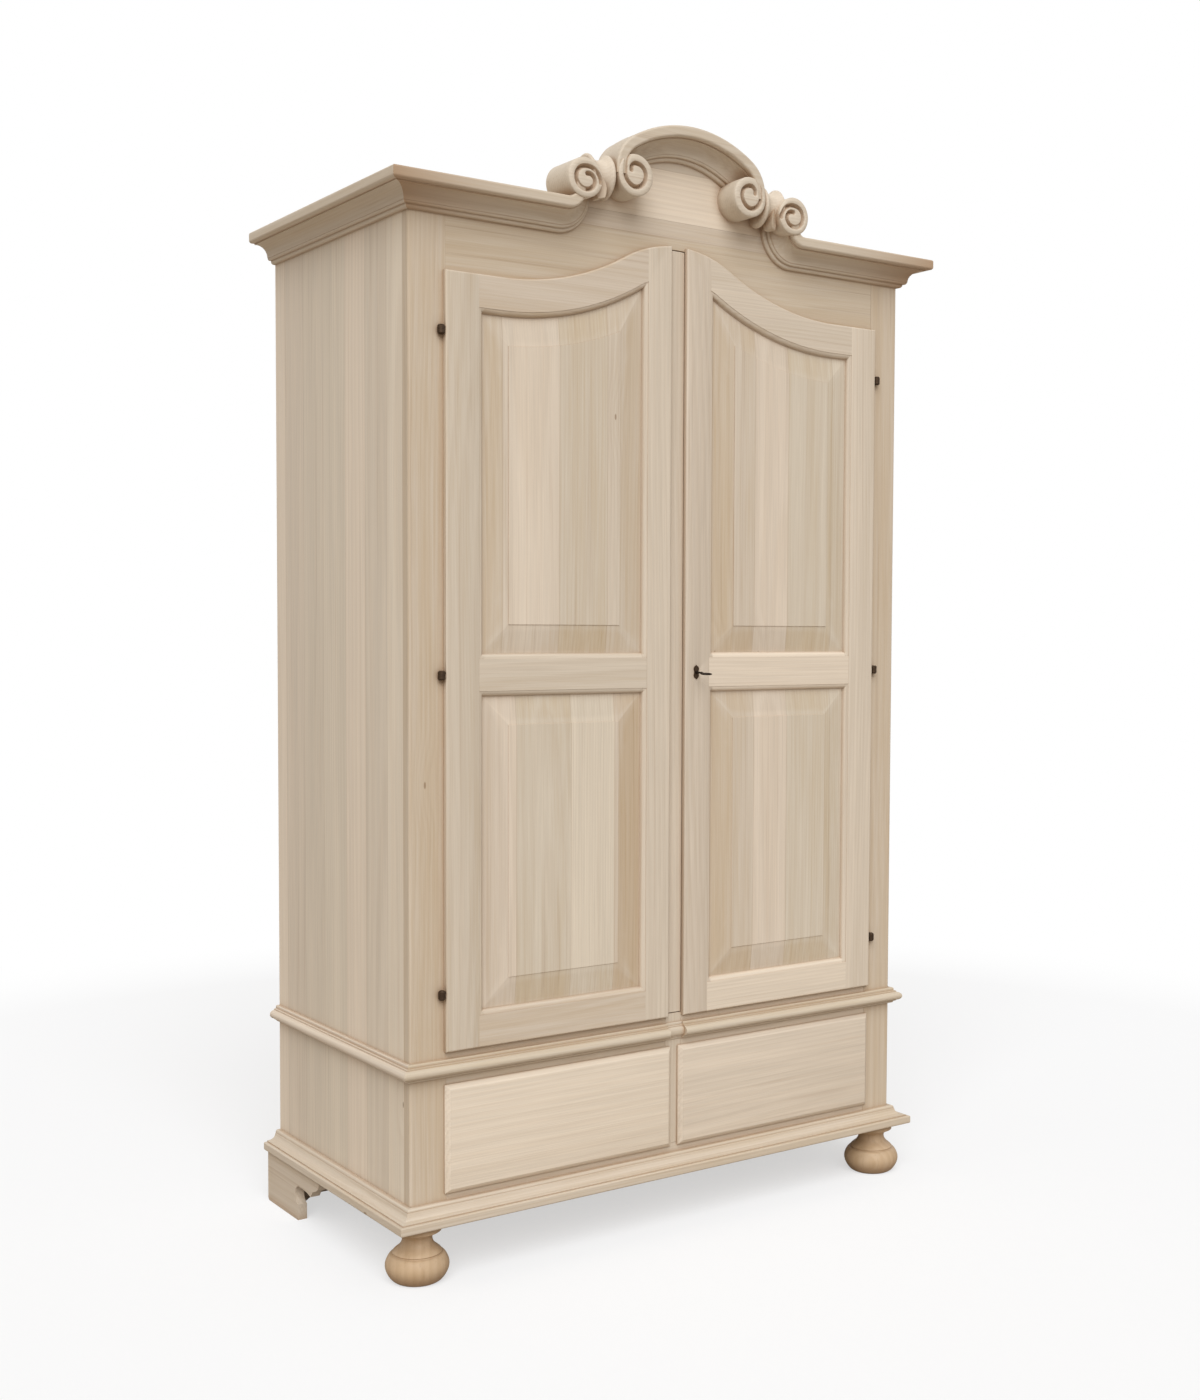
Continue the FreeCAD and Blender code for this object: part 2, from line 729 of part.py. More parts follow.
def lock_bolt():
    y0, y1, z0, z1 = bolt_zone(0)
    return block(case_start, case_start + case_width - bolt_travel, y0, y1, z0, z1)


def lock_keeper():
    y0, y1, z0, z1 = bolt_zone(bolt_clearance * 2)
    middle = key_z + bolt_rise + bolt_height / 2
    keeper = block(keeper_end - keeper_width, keeper_end, door_back, door_back + case_depth,
                   middle - keeper_height / 2, middle + keeper_height / 2)
    return keeper.cut(block(0, keeper_end + overrun, y0, y1, z0, z1))


# Slide bolts behind the left door's tongue; sense is 1 at the head and -1 at the foot
def slide_end(sense):
    if sense > 0:
        edge = ogee_height(slide_offset + slide_plate_width, lip_overlap + door_clearance)
        return edge - slide_rest_gap
    return opening_low + door_clearance + slide_rest_gap


def slide_spans(sense, start, length):
    end = slide_end(sense)
    near = end - sense * start
    far = near - sense * length
    return min(near, far), max(near, far)


def slide_bar_zone(extra):
    y0 = door_back + slide_plate_thickness + slide_clearance
    half = slide_bar_width / 2
    return (-slide_offset - half - extra, -slide_offset + half + extra, y0 - extra,
            y0 + slide_bar_thickness + extra)


def slide_bolt(sense):
    x0, x1, y0, y1 = slide_bar_zone(0)
    z0, z1 = slide_spans(sense, 0, slide_bar_length)
    knob_z = slide_end(sense) - sense * slide_plate_length / 2
    knob = cylinder(slide_knob_radius, Vector(-slide_offset, y1 - slide_clearance, knob_z), inward,
                    slide_knob_length + slide_clearance)
    return block(x0, x1, y0, y1, z0, z1).fuse(knob)


def slide_plate(sense):
    x0, x1, y0, y1 = slide_bar_zone(0)
    half = slide_plate_width / 2
    z0, z1 = slide_spans(sense, slide_strap_width, slide_plate_length - slide_strap_width)
    plate = block(-slide_offset - half, -slide_offset + half, door_back,
                  door_back + slide_plate_thickness, z0, z1)
    for start in (slide_strap_width, slide_plate_length - slide_strap_width):
        strap_low, strap_high = slide_spans(sense, start, slide_strap_width)
        strap = block(x0 - slide_clearance - slide_strap_wall, x1 + slide_clearance + slide_strap_wall,
                      door_back, y1 + slide_clearance + slide_strap_wall, strap_low, strap_high)
        plate = plate.fuse(strap)
    zone = slide_bar_zone(slide_clearance)
    return plate.cut(block(zone[0], zone[1], zone[2], zone[3], z0 - overrun, z1 + overrun)).removeSplitter()


def slide_pocket(sense):
    zone = slide_bar_zone(slide_pocket_clearance)
    end = slide_end(sense)
    far = end + sense * slide_pocket_depth
    return block(zone[0], zone[1], zone[2], zone[3], min(end, far), max(end, far))


# Case frame
def front_post():
    post = block(opening_edge, half_width, front_y, frame_back, foot_height, cornice_top)
    corner = [edge for edge in post.Edges
              if edge.BoundBox.XMin > half_width - post_edge_radius
              and edge.BoundBox.YMax < front_y + post_edge_radius]
    post = post.makeFillet(post_edge_radius, corner)
    return cut_all(post, [post_stem(rise) for rise in hinge_rises])


def frieze_board():
    board = block(-opening_edge, opening_edge, front_y, frame_back, opening_low, cornice_top)
    opening = ogee_slab(0, opening_edge + lip_overlap, opening_low - overrun, lip_overlap,
                        front_y - overrun, frame_back + overrun)
    board = cut_all(board, pair(opening))
    return board.cut(slide_pocket(1)).removeSplitter()


def rear_post():
    return block(inner_face - rear_post_size, inner_face, back_inner - rear_post_size, back_inner,
                 foot_height, cornice_top - top_thickness)


def across_board(y0, y1, z0, z1):
    board = block(-inner_face, inner_face, y0, y1, z0, z1)
    return cut_all(board, pair(rear_post()))


def back_boards():
    width = 2 * inner_face / back_board_count
    boards = []
    for index in range(back_board_count):
        start = -inner_face + index * width
        boards.append(block(start, start + width, back_inner, back_y, foot_height, cornice_top))
    return boards


def runner(guide_edge, outer_edge, low_edge):
    low = drawer_opening_low - drawer_floor_drop
    end = back_inner - rear_post_size
    bed = block(low_edge, outer_edge, frame_back, end, low, drawer_opening_low)
    guide = block(guide_edge, outer_edge, frame_back, end, drawer_opening_low,
                  drawer_opening_low + runner_guide_rise)
    return bed.fuse(guide).removeSplitter()


# Drawer on the +X side: lipped and bevelled front, two sides, a back and a bottom
drawer_lip_inner = channel_edge / 2
drawer_box_inner = centre_post_width / 2 + drawer_clearance
drawer_box_outer = opening_edge - drawer_clearance
drawer_box_low = drawer_opening_low + drawer_running_gap
drawer_box_start = front_y + drawer_front_inner


def drawer_front():
    chamfer_y = lip_face + drawer_bevel_depth
    inset = drawer_bevel_width
    lip = block(drawer_lip_inner, door_edge, chamfer_y, front_y, drawer_low, drawer_high)
    bevel = tapered(rectangle_wire(drawer_lip_inner, door_edge, drawer_low, drawer_high, chamfer_y),
                    rectangle_wire(drawer_lip_inner + inset, door_edge - inset, drawer_low + inset,
                                   drawer_high - inset, lip_face))
    inner = block(drawer_box_inner, drawer_box_outer, front_y, drawer_box_start,
                  drawer_opening_low + drawer_clearance, drawer_opening_high - drawer_clearance)
    return lip.fuse(bevel).fuse(inner).removeSplitter()


def drawer_box():
    end = drawer_box_start + drawer_box_depth
    high = drawer_box_low + drawer_box_height
    thick = drawer_side_thickness
    sides = [block(drawer_box_inner, drawer_box_inner + thick, drawer_box_start, end, drawer_box_low, high),
             block(drawer_box_outer - thick, drawer_box_outer, drawer_box_start, end, drawer_box_low, high)]
    back = block(drawer_box_inner + thick, drawer_box_outer - thick, end - thick, end, drawer_box_low, high)
    groove = drawer_bottom_groove()
    return [side.cut(groove) for side in sides] + [back.cut(groove)]


def drawer_bottom_groove():
    depth = drawer_side_thickness / 2
    low = drawer_box_low + drawer_bottom_rise
    return block(drawer_box_inner + depth, drawer_box_outer - depth, drawer_box_start,
                 drawer_box_start + drawer_box_depth - depth, low, low + drawer_bottom_thickness)


# Turned front foot: a flattened ball with an incised ring, a hollow neck and a top plate
belly_share = 0.58
ring_share = 0.45
neck_share = 0.64
plate_share = 0.87


def bun_foot():
    ring_z = foot_height * ring_share
    neck_z = foot_height * neck_share
    plate_z = foot_height * plate_share
    notch = (bun_radius - bun_plate_radius) / 8
    groove_radius = bun_ring_radius - notch

    def place(radius, z):
        return Vector(radius, 0, z)

    centre = place(0, 0)
    base = place(bun_base_radius, 0)
    belly = place(bun_radius, ring_z * belly_share)
    ring = place(bun_ring_radius, ring_z)
    groove_low = place(groove_radius, ring_z + notch)
    groove_high = place(groove_radius, ring_z + 2 * notch)
    hollow = place(bun_neck_radius + notch, neck_z - 2 * notch)
    neck = place(bun_neck_radius, neck_z)
    flare = place(bun_neck_radius + 2 * notch, (neck_z + plate_z) / 2 + notch)
    plate = place(bun_plate_radius, plate_z)
    rim = place(bun_plate_radius, foot_height)
    head = place(0, foot_height)
    edges = [Part.makeLine(centre, base), Part.Arc(base, belly, ring).toShape(),
             Part.makeLine(ring, groove_low), Part.makeLine(groove_low, groove_high),
             Part.Arc(groove_high, hollow, neck).toShape(), Part.Arc(neck, flare, plate).toShape(),
             Part.makeLine(plate, rim), Part.makeLine(rim, head), Part.makeLine(head, centre)]
    foot = Part.Face(Part.Wire(edges)).revolve(centre, upward, 360)
    foot.translate(Vector(half_width - bun_side_inset, front_y + bun_front_inset, 0))
    return foot


# Scroll-cut bracket, drawn along a run that starts at the back corner; place sets its plane
def bracket(place, direction):
    face = profile_face(bracket_profile_shares, bracket_length, foot_height, place)
    return face.extrude(direction * bracket_thickness)


def rear_foot():
    outer = half_width + bracket_projection
    inner = outer - bracket_thickness
    rear = back_y - bracket_back_gap
    side = bracket(lambda run, z: Vector(inner, rear - run, z), across)
    back = bracket(lambda run, z: Vector(inner - run, rear - bracket_thickness, z), inward)
    near = rear - bracket_thickness
    corner = block(inner - corner_block_width, inner, near - corner_block_depth, near, 0, foot_height)
    edge = [edge for edge in corner.Edges
            if edge.BoundBox.XMax < inner - corner_block_width / 2
            and edge.BoundBox.YMax < near - corner_block_depth / 2]
    corner = corner.makeChamfer(corner_block_chamfer, edge)
    return [side, back, corner]


# Crest and cornice
outer_depth = volute_projection + post_thickness
outer_roll = roll_body(outer_volute_x, outer_volute_z, outer_volute_radius, outer_depth)
inner_roll = roll_body(inner_volute_x, inner_volute_z, inner_volute_radius, volute_projection)
cornice = cornice_front().cut(outer_roll)
arch = cut_all(arch_moulding(), pair(inner_roll))
outer_volute = volute(-outer_volute_x, outer_volute_z, outer_volute_radius, outer_depth, outer_spiral_radii,
                      outer_spiral_shift, outer_spiral_start_angle, outer_spiral_end_angle)
inner_volute = volute(-inner_volute_x, inner_volute_z, inner_volute_radius, volute_projection,
                      inner_spiral_radii, inner_spiral_shift, inner_spiral_start_angle,
                      inner_spiral_end_angle)
nodes["cornice_fronts"] = pair(cornice)
nodes["cornice_returns"] = pair(side_return(cornice_profile_shares, cornice_projection, cornice_height,
                                            cornice_low))
nodes["arch_moulding"] = [arch]
nodes["cornice_volutes"] = pair(outer_volute)
nodes["arch_volutes"] = pair(inner_volute)
nodes["crest_collars"] = pair(cut_all(collar(), [outer_roll, inner_roll, cornice, arch]))
nodes["tympanum_board"] = [tympanum()]

# Face frame
centre_edge = centre_post_width / 2
nodes["front_posts"] = pair(front_post())
nodes["frieze_board"] = [frieze_board()]
waist_rail = block(centre_edge, opening_edge, front_y, frame_back, drawer_opening_high, opening_low)
nodes["waist_rails"] = [waist_rail, mirrored(waist_rail).cut(slide_pocket(-1))]
nodes["centre_post"] = [block(-centre_edge, centre_edge, front_y, frame_back, drawer_opening_low,
                              opening_low)]
nodes["bottom_rail"] = [block(-opening_edge, opening_edge, front_y, frame_back, foot_height,
                              drawer_opening_low)]

# Mouldings round the waist and the base
waist_run = straight_run(waist_profile_shares, waist_projection, waist_height, waist_low, centre_edge)
waist_return = side_return(waist_profile_shares, waist_projection, waist_height, waist_low)
waist_block = front_profile(waist_profile_shares, waist_block_projection, waist_height, waist_low,
                            -centre_edge).extrude(across * centre_post_width)
nodes["waist_mouldings"] = pair(waist_run) + pair(waist_return) + [waist_block]
base_run = straight_run(base_profile_shares, base_projection, base_height, foot_height, 0)
base_return = side_return(base_profile_shares, base_projection, base_height, foot_height)
nodes["base_mouldings"] = [base_run.fuse(mirrored(base_run)).removeSplitter()] + pair(base_return)

# Boards and carcase
side_panel = block(inner_face, half_width, frame_back, back_y, foot_height, cornice_top)
nodes["side_panel_right"] = [side_panel]
nodes["side_panel_left"] = [mirrored(side_panel)]
nodes["back_boards"] = back_boards()
nodes["rear_posts"] = pair(rear_post())
nodes["top_panel"] = [across_board(frame_back, back_inner, cornice_top - top_thickness, cornice_top)]
nodes["wardrobe_floor"] = [across_board(frame_back, back_inner, opening_low - floor_thickness,
                                        opening_low)]
drawer_floor_top = drawer_opening_low - drawer_floor_drop
nodes["drawer_floor"] = [across_board(frame_back, back_inner, drawer_floor_top - drawer_floor_thickness,
                                      drawer_floor_top)]
side_runner = runner(opening_edge, inner_face, inner_face - runner_width)
centre_half = centre_runner_width / 2
runner_end = back_inner - rear_post_size
centre_bed = block(-centre_half, centre_half, frame_back, runner_end, drawer_floor_top, drawer_opening_low)
centre_guide = block(-centre_edge, centre_edge, frame_back, runner_end, drawer_opening_low,
                     drawer_opening_low + runner_guide_rise)
nodes["drawer_runners"] = pair(side_runner) + [centre_bed.fuse(centre_guide).removeSplitter()]

# Hat shelf and clothes rail
shelf_front = front_y + shelf_setback
nodes["hat_shelf"] = [across_board(shelf_front, back_inner, shelf_height, shelf_height + shelf_thickness)]
nodes["shelf_battens"] = pair(block(inner_face - batten_thickness, inner_face, shelf_front, runner_end,
                                    shelf_height - batten_height, shelf_height))
rail_y = (frame_back + back_inner) / 2
rail_z = shelf_height - rail_drop
rail_half = inner_face - rail_seat_gap
nodes["clothes_rail"] = [cylinder(rail_radius, Vector(-rail_half, rail_y, rail_z), across, 2 * rail_half)]
socket = cylinder(socket_radius, Vector(inner_face - socket_thickness, rail_y, rail_z), across,
                  socket_thickness)
socket_bore = cylinder(rail_radius + rail_seat_gap, Vector(inner_face - overrun, rail_y, rail_z), across,
                       overrun)
nodes["rail_sockets"] = pair(socket.cut(socket_bore))

# Feet
nodes["bun_feet"] = pair(bun_foot())
nodes["rear_bracket_feet"] = [piece for foot in rear_foot() for piece in pair(foot)]

# Doors; the left one carries the tongue that the lock bolts into
right_parts = door_parts(channel_edge + meeting_gap / 2)
left_parts = door_parts(-channel_edge + meeting_gap / 2)
door_stems = [door_stem(rise) for rise in hinge_rises]
for name in right_parts:
    right_piece = right_parts[name]
    left_piece = left_parts[name]
    if name == "hinge_stile":
        right_piece = cut_all(right_piece, door_stems)
        left_piece = cut_all(left_piece, door_stems)
    if name == "meeting_stile":
        right_piece = right_piece.cut(keyhole(lip_face - overrun, door_back + overrun))
    nodes["right_door_" + name] = [right_piece]
    nodes["left_door_" + name] = [mirrored(left_piece)]

# Hinges, lock and bolts
nodes["frame_hinges"] = [knuckle for rise in hinge_rises for knuckle in pair(post_knuckle(rise))]
nodes["right_door_hinges"] = [door_knuckle(rise) for rise in hinge_rises]
nodes["left_door_hinges"] = [mirrored(door_knuckle(rise)) for rise in hinge_rises]
nodes["lock_case"] = [lock_case()]
nodes["lock_bolt"] = [lock_bolt()]
nodes["lock_keeper"] = [lock_keeper()]
nodes["key"] = [key_shape()]
nodes["key_plate"] = [key_plate()]
nodes["top_slide_bolt"] = [slide_bolt(1)]
nodes["bottom_slide_bolt"] = [slide_bolt(-1)]
nodes["slide_plates"] = [slide_plate(1), slide_plate(-1)]

# Drawers
front = drawer_front()
box = drawer_box()
bottom = drawer_bottom_groove()
nodes["right_drawer_front"] = [front]
nodes["right_drawer_box"] = box
nodes["right_drawer_bottom"] = [bottom]
nodes["left_drawer_front"] = [mirrored(front)]
nodes["left_drawer_box"] = [mirrored(piece) for piece in box]
nodes["left_drawer_bottom"] = [mirrored(bottom)]

os.makedirs("parts", exist_ok=True)
for name, solids in nodes.items():
    Part.makeCompound(solids).exportStep(os.path.join("parts", name + ".step"))
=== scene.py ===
import json
import random
from math import atan2, cos, degrees, hypot, pi, radians, sin, sqrt

import bmesh
import bpy
from mathutils import Matrix, Vector


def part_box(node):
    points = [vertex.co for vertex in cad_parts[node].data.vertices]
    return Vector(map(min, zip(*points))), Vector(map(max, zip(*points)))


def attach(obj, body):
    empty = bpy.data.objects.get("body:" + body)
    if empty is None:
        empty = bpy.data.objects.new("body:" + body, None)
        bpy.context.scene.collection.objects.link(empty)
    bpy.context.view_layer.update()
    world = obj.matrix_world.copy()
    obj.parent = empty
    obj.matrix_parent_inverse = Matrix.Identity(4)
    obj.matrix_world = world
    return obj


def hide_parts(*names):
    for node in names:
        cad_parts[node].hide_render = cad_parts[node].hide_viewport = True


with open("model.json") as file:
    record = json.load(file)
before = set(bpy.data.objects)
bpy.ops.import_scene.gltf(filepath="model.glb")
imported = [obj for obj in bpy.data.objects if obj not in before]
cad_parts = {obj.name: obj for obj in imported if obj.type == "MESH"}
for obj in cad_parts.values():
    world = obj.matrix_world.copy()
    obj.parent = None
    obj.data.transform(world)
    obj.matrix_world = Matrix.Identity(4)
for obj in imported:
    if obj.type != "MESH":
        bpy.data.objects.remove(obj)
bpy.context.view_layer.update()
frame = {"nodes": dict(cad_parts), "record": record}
nodes = frame["nodes"]
record = frame["record"]
bodyOfNode = {node: body for body, members in record["behaviour"]["bodies"].items() for node in members}
slotOfNode = {part["node"]: part["material_slot"] for part in record["subparts"]}
print("frame loaded:", len(nodes), "nodes")


# small helpers for node trees
def feed(tree, socket, value):
    if isinstance(value, bpy.types.Node):
        value = value.outputs[0]
    if isinstance(value, bpy.types.NodeSocket):
        tree.links.new(value, socket)
    else:
        socket.default_value = value


# an input takes a plain value, an output or a node, whose first output is meant
def addNode(tree, kind, inputs=None, **settings):
    node = tree.nodes.new(kind)
    for name, value in settings.items():
        setattr(node, name, value)
    for key, value in (inputs or {}).items():
        feed(tree, node.inputs[key], value)
    return node


def calc(tree, operation, first, second=0.0, third=0.0):
    return addNode(tree, "ShaderNodeMath", {0: first, 1: second, 2: third}, operation=operation).outputs[0]


def times(tree, first, second):
    return calc(tree, "MULTIPLY", first, second)


def remap(tree, value, low, high, outLow=0.0, outHigh=1.0):
    inputs = {"Value": value, "From Min": low, "From Max": high, "To Min": outLow, "To Max": outHigh}
    return addNode(tree, "ShaderNodeMapRange", inputs, interpolation_type="SMOOTHSTEP").outputs["Result"]


# noise drawn out along the grain, by how close it lies across and along
def drawnNoise(tree, place, across, along, detail, roughness=0.6):
    drawn = addNode(tree, "ShaderNodeVectorMath", {0: place, 1: (across, across, along)}, operation="MULTIPLY")
    values = {"Vector": drawn, "Scale": 1.0, "Detail": detail, "Roughness": roughness}
    return addNode(tree, "ShaderNodeTexNoise", values).outputs


def meshValue(tree, name, output="Fac"):
    return addNode(tree, "ShaderNodeAttribute", attribute_name=name).outputs[output]


def blendColour(tree, share, first, second, mode="MIX"):
    node = addNode(tree, "ShaderNodeMix", data_type="RGBA", blend_type=mode, clamp_factor=True)
    for index, value in ((0, share), (6, first), (7, second)):
        feed(tree, node.inputs[index], (*value, 1) if isinstance(value, tuple) else value)
    return node.outputs[2]


def newGroup(name, ins, outs, family="Shader"):
    tree = bpy.data.node_groups.new(name, family + "NodeTree")
    for title, kind, value in ins:
        socket = tree.interface.new_socket(title, in_out="INPUT", socket_type="NodeSocket" + kind)
        if value is not None:
            socket.default_value = value
    for title, kind in outs:
        tree.interface.new_socket(title, in_out="OUTPUT", socket_type="NodeSocket" + kind)
    return tree, addNode(tree, "NodeGroupInput").outputs, addNode(tree, "NodeGroupOutput").inputs


def wired(tree, sockets, values):
    for title, value in values.items():
        feed(tree, sockets[title], value)
    return tree


# a noise: how close it lies across and along, its detail, then the span that counts and what that becomes
grainWork = {
    "boardPick": 37.0,
    "boardSpread": 0.6,
    "boardShift": (0.3, 0.16, 7.0),
    "jointWidth": (0.0003, 0.0013),
    "sway": (3.0, 0.55, 1.0, 0.5),
    "swayReach": (0.035, 0.045, 0.0),
    "knotCloseness": (4.2, 1.5),
    "knotChance": (0.66, 0.70),
    "knotReach": 0.17,
    "knotSize": (0.008, 0.024),
    "knotEdge": (0.7, 1.3),
    "knotBend": 0.010,
    "lateStart": (0.15, 0.78),
    "lateEnd": (0.80, 1.0),
    "Fibre": (380.0, 5.0, 3.0, 0.3, 0.7, -1.0, 1.0),
    "Streak": (120.0, 0.8, 4.0, 0.55, 0.76),
    "Band": (26.0, 0.9, 3.0, 0.3, 0.7, -1.0, 1.0),
}


# glued boards: each board's own tone, hue and place in the log, with a fine line between them
def gluedBoards(look):
    ins = [("Place", "Vector", (0, 0, 0)), ("Board Width", "Float", 0.1), ("Tone", "Float", 0.0)]
    outs = [("Place", "Vector"), ("Tone", "Float"), ("Hue", "Float"), ("Joint", "Float")]
    tree, given, out = newGroup("gluedBoards", ins, outs)
    parts = addNode(tree, "ShaderNodeSeparateXYZ", {0: given["Place"]}).outputs
    count = calc(tree, "DIVIDE", parts["X"], given["Board Width"])
    count = calc(tree, "MULTIPLY_ADD", given["Tone"], look["boardPick"], count)
    values = {"W": count, "Scale": 1.0, "Randomness": look["boardSpread"]}
    cell = addNode(tree, "ShaderNodeTexVoronoi", values, voronoi_dimensions="1D").outputs["Color"]
    edge = addNode(tree, "ShaderNodeTexVoronoi", values, voronoi_dimensions="1D", feature="DISTANCE_TO_EDGE")
    shift = addNode(tree, "ShaderNodeVectorMath", {0: cell, 1: look["boardShift"], 2: given["Place"]},
                    operation="MULTIPLY_ADD")
    shade = addNode(tree, "ShaderNodeSeparateColor", {0: cell}).outputs
    gap = times(tree, edge.outputs["Distance"], given["Board Width"])
    return wired(tree, out, {"Place": shift, "Tone": remap(tree, shade["Blue"], 0.0, 1.0, -1.0, 1.0),
                             "Hue": shade["Green"], "Joint": remap(tree, gap, *look["jointWidth"], 1.0, 0.0)})


# growth rings, fibres, brown streaks and small knots of a softwood board
def grainFigure(look):
    ins = [("Place", "Vector", (0, 0, 0)), ("Ring Spacing", "Float", 0.006)]
    outs = [("Rings", "Float"), ("Fibre", "Float"), ("Streak", "Float"), ("Knot", "Float"), ("Band", "Float")]
    tree, given, out = newGroup("grainFigure", ins, outs)
    sway = drawnNoise(tree, given["Place"], *look["sway"])["Color"]
    swayed = addNode(tree, "ShaderNodeVectorMath", {0: sway, 1: look["swayReach"], 2: given["Place"]},
                     operation="MULTIPLY_ADD")
    parts = addNode(tree, "ShaderNodeSeparateXYZ", {0: swayed}).outputs
    closeX, closeZ = look["knotCloseness"]
    flat = addNode(tree, "ShaderNodeCombineXYZ", {"X": times(tree, parts["X"], closeX),
                                                  "Y": times(tree, parts["Z"], closeZ)})
    cell = addNode(tree, "ShaderNodeTexVoronoi", {"Vector": flat, "Scale": 1.0, "Randomness": 1.0},
                   voronoi_dimensions="2D").outputs
    picked = addNode(tree, "ShaderNodeSeparateColor", {0: cell["Color"]}).outputs
    kept = remap(tree, picked["Red"], *look["knotChance"])
    near = times(tree, remap(tree, cell["Distance"], 0.0, look["knotReach"], 1.0, 0.0), kept)
    size = remap(tree, picked["Green"], 0.0, 1.0, *look["knotSize"])
    soft = remap(tree, calc(tree, "DIVIDE", cell["Distance"], size), *look["knotEdge"], 1.0, 0.0)
    squares = [calc(tree, "POWER", parts[side], 2.0) for side in "XY"]
    distance = calc(tree, "SQRT", calc(tree, "ADD", *squares))
    distance = calc(tree, "MULTIPLY_ADD", near, look["knotBend"], distance)
    saw = calc(tree, "FRACT", calc(tree, "DIVIDE", distance, given["Ring Spacing"]))
    late = times(tree, remap(tree, saw, *look["lateStart"]), remap(tree, saw, *look["lateEnd"], 1.0, 0.0))
    values = {"Rings": late, "Knot": times(tree, soft, kept)}
    for title in ("Fibre", "Streak", "Band"):
        across, along, detail, *span = look[title]
        values[title] = remap(tree, drawnNoise(tree, swayed, across, along, detail)["Fac"], *span)
    return wired(tree, out, values)


woodGroups = {"boards": gluedBoards(grainWork), "figure": grainFigure(grainWork)}
# each wood's grime colour is the brown painted as shade into its corners, undersides and quirks
woodLook = {
    "paleWood": {
        "slot": "pale_wood",
        "light": (0.640, 0.574, 0.474),
        "rosy": (0.630, 0.538, 0.448),
        "late": (0.500, 0.404, 0.300),
        "streak": (0.400, 0.290, 0.196),
        "knot": (0.260, 0.165, 0.095),
        "ringSpacing": 0.0060,
        "ringShare": 0.18,
        "fibreShade": 0.050,
        "roughness": (0.52, 0.70),
        "grime": (0.400, 0.262, 0.158),
        "grimeReach": 0.024,
        "grimeShare": 0.76,
        "quirkShare": 0.85,
    },
    "turnedWood": {
        "slot": "turned_wood",
        "light": (0.560, 0.425, 0.288),
        "rosy": (0.535, 0.390, 0.262),
        "late": (0.405, 0.278, 0.165),
        "streak": (0.300, 0.200, 0.120),
        "knot": (0.200, 0.110, 0.060),
        "ringSpacing": 0.0150,
        "ringShare": 0.24,
        "fibreShade": 0.015,
        "roughness": (0.42, 0.60),
        "grime": (0.300, 0.180, 0.100),
        "grimeReach": 0.035,
        "grimeShare": 0.55,
        "quirkShare": 0.5,
    },
    "innerWood": {
        "slot": "inner_wood",
        "light": (0.560, 0.450, 0.322),
        "rosy": (0.548, 0.425, 0.305),
        "late": (0.440, 0.328, 0.215),
        "streak": (0.340, 0.245, 0.158),
        "knot": (0.190, 0.110, 0.060),
        "ringSpacing": 0.0080,
        "ringShare": 0.40,
        "fibreShade": 0.050,
        "roughness": (0.62, 0.80),
        "grime": (0.330, 0.220, 0.130),
        "grimeReach": 0.035,
        "grimeShare": 0.45,
        "quirkShare": 0.5,
    },
}


# what all the woods share: how much each thing lightens or darkens, and how much of each colour shows
woodShade = {
    "tone": 0.035,
    "boards": 0.085,
    "band": 0.045,
    "rubbed": 0.06,
    "slanted": -0.06,
    "rosy": 0.6,
    "heart": (-4.0, -1.2, 0.80, 0.32),
    "browner": (-0.4, 0.7),
    "joint": 0.32,
    "knot": 0.7,
    "openness": (0.30, 0.97),
    "fibreHeight": 0.35,
    "ringHeight": -0.5,
    "bump": 0.35,
    "bumpDepth": 0.0004,
    "refraction": 1.42,
}


def newMaterial(name, fixed):
    material = bpy.data.materials.new(name)
    material.use_nodes = True
    shader = material.node_tree.nodes["Principled BSDF"]
    for title, value in fixed.items():
        shader.inputs[title].default_value = value
    return material, material.node_tree, shader


def dressShader(tree, shader, colour, rough, height, look):
    bump = addNode(tree, "ShaderNodeBump", {"Strength": look["bump"], "Distance": look["bumpDepth"], "Height": height})
    wired(tree, shader.inputs, {"Base Color": colour, "Roughness": rough, "Normal": bump})


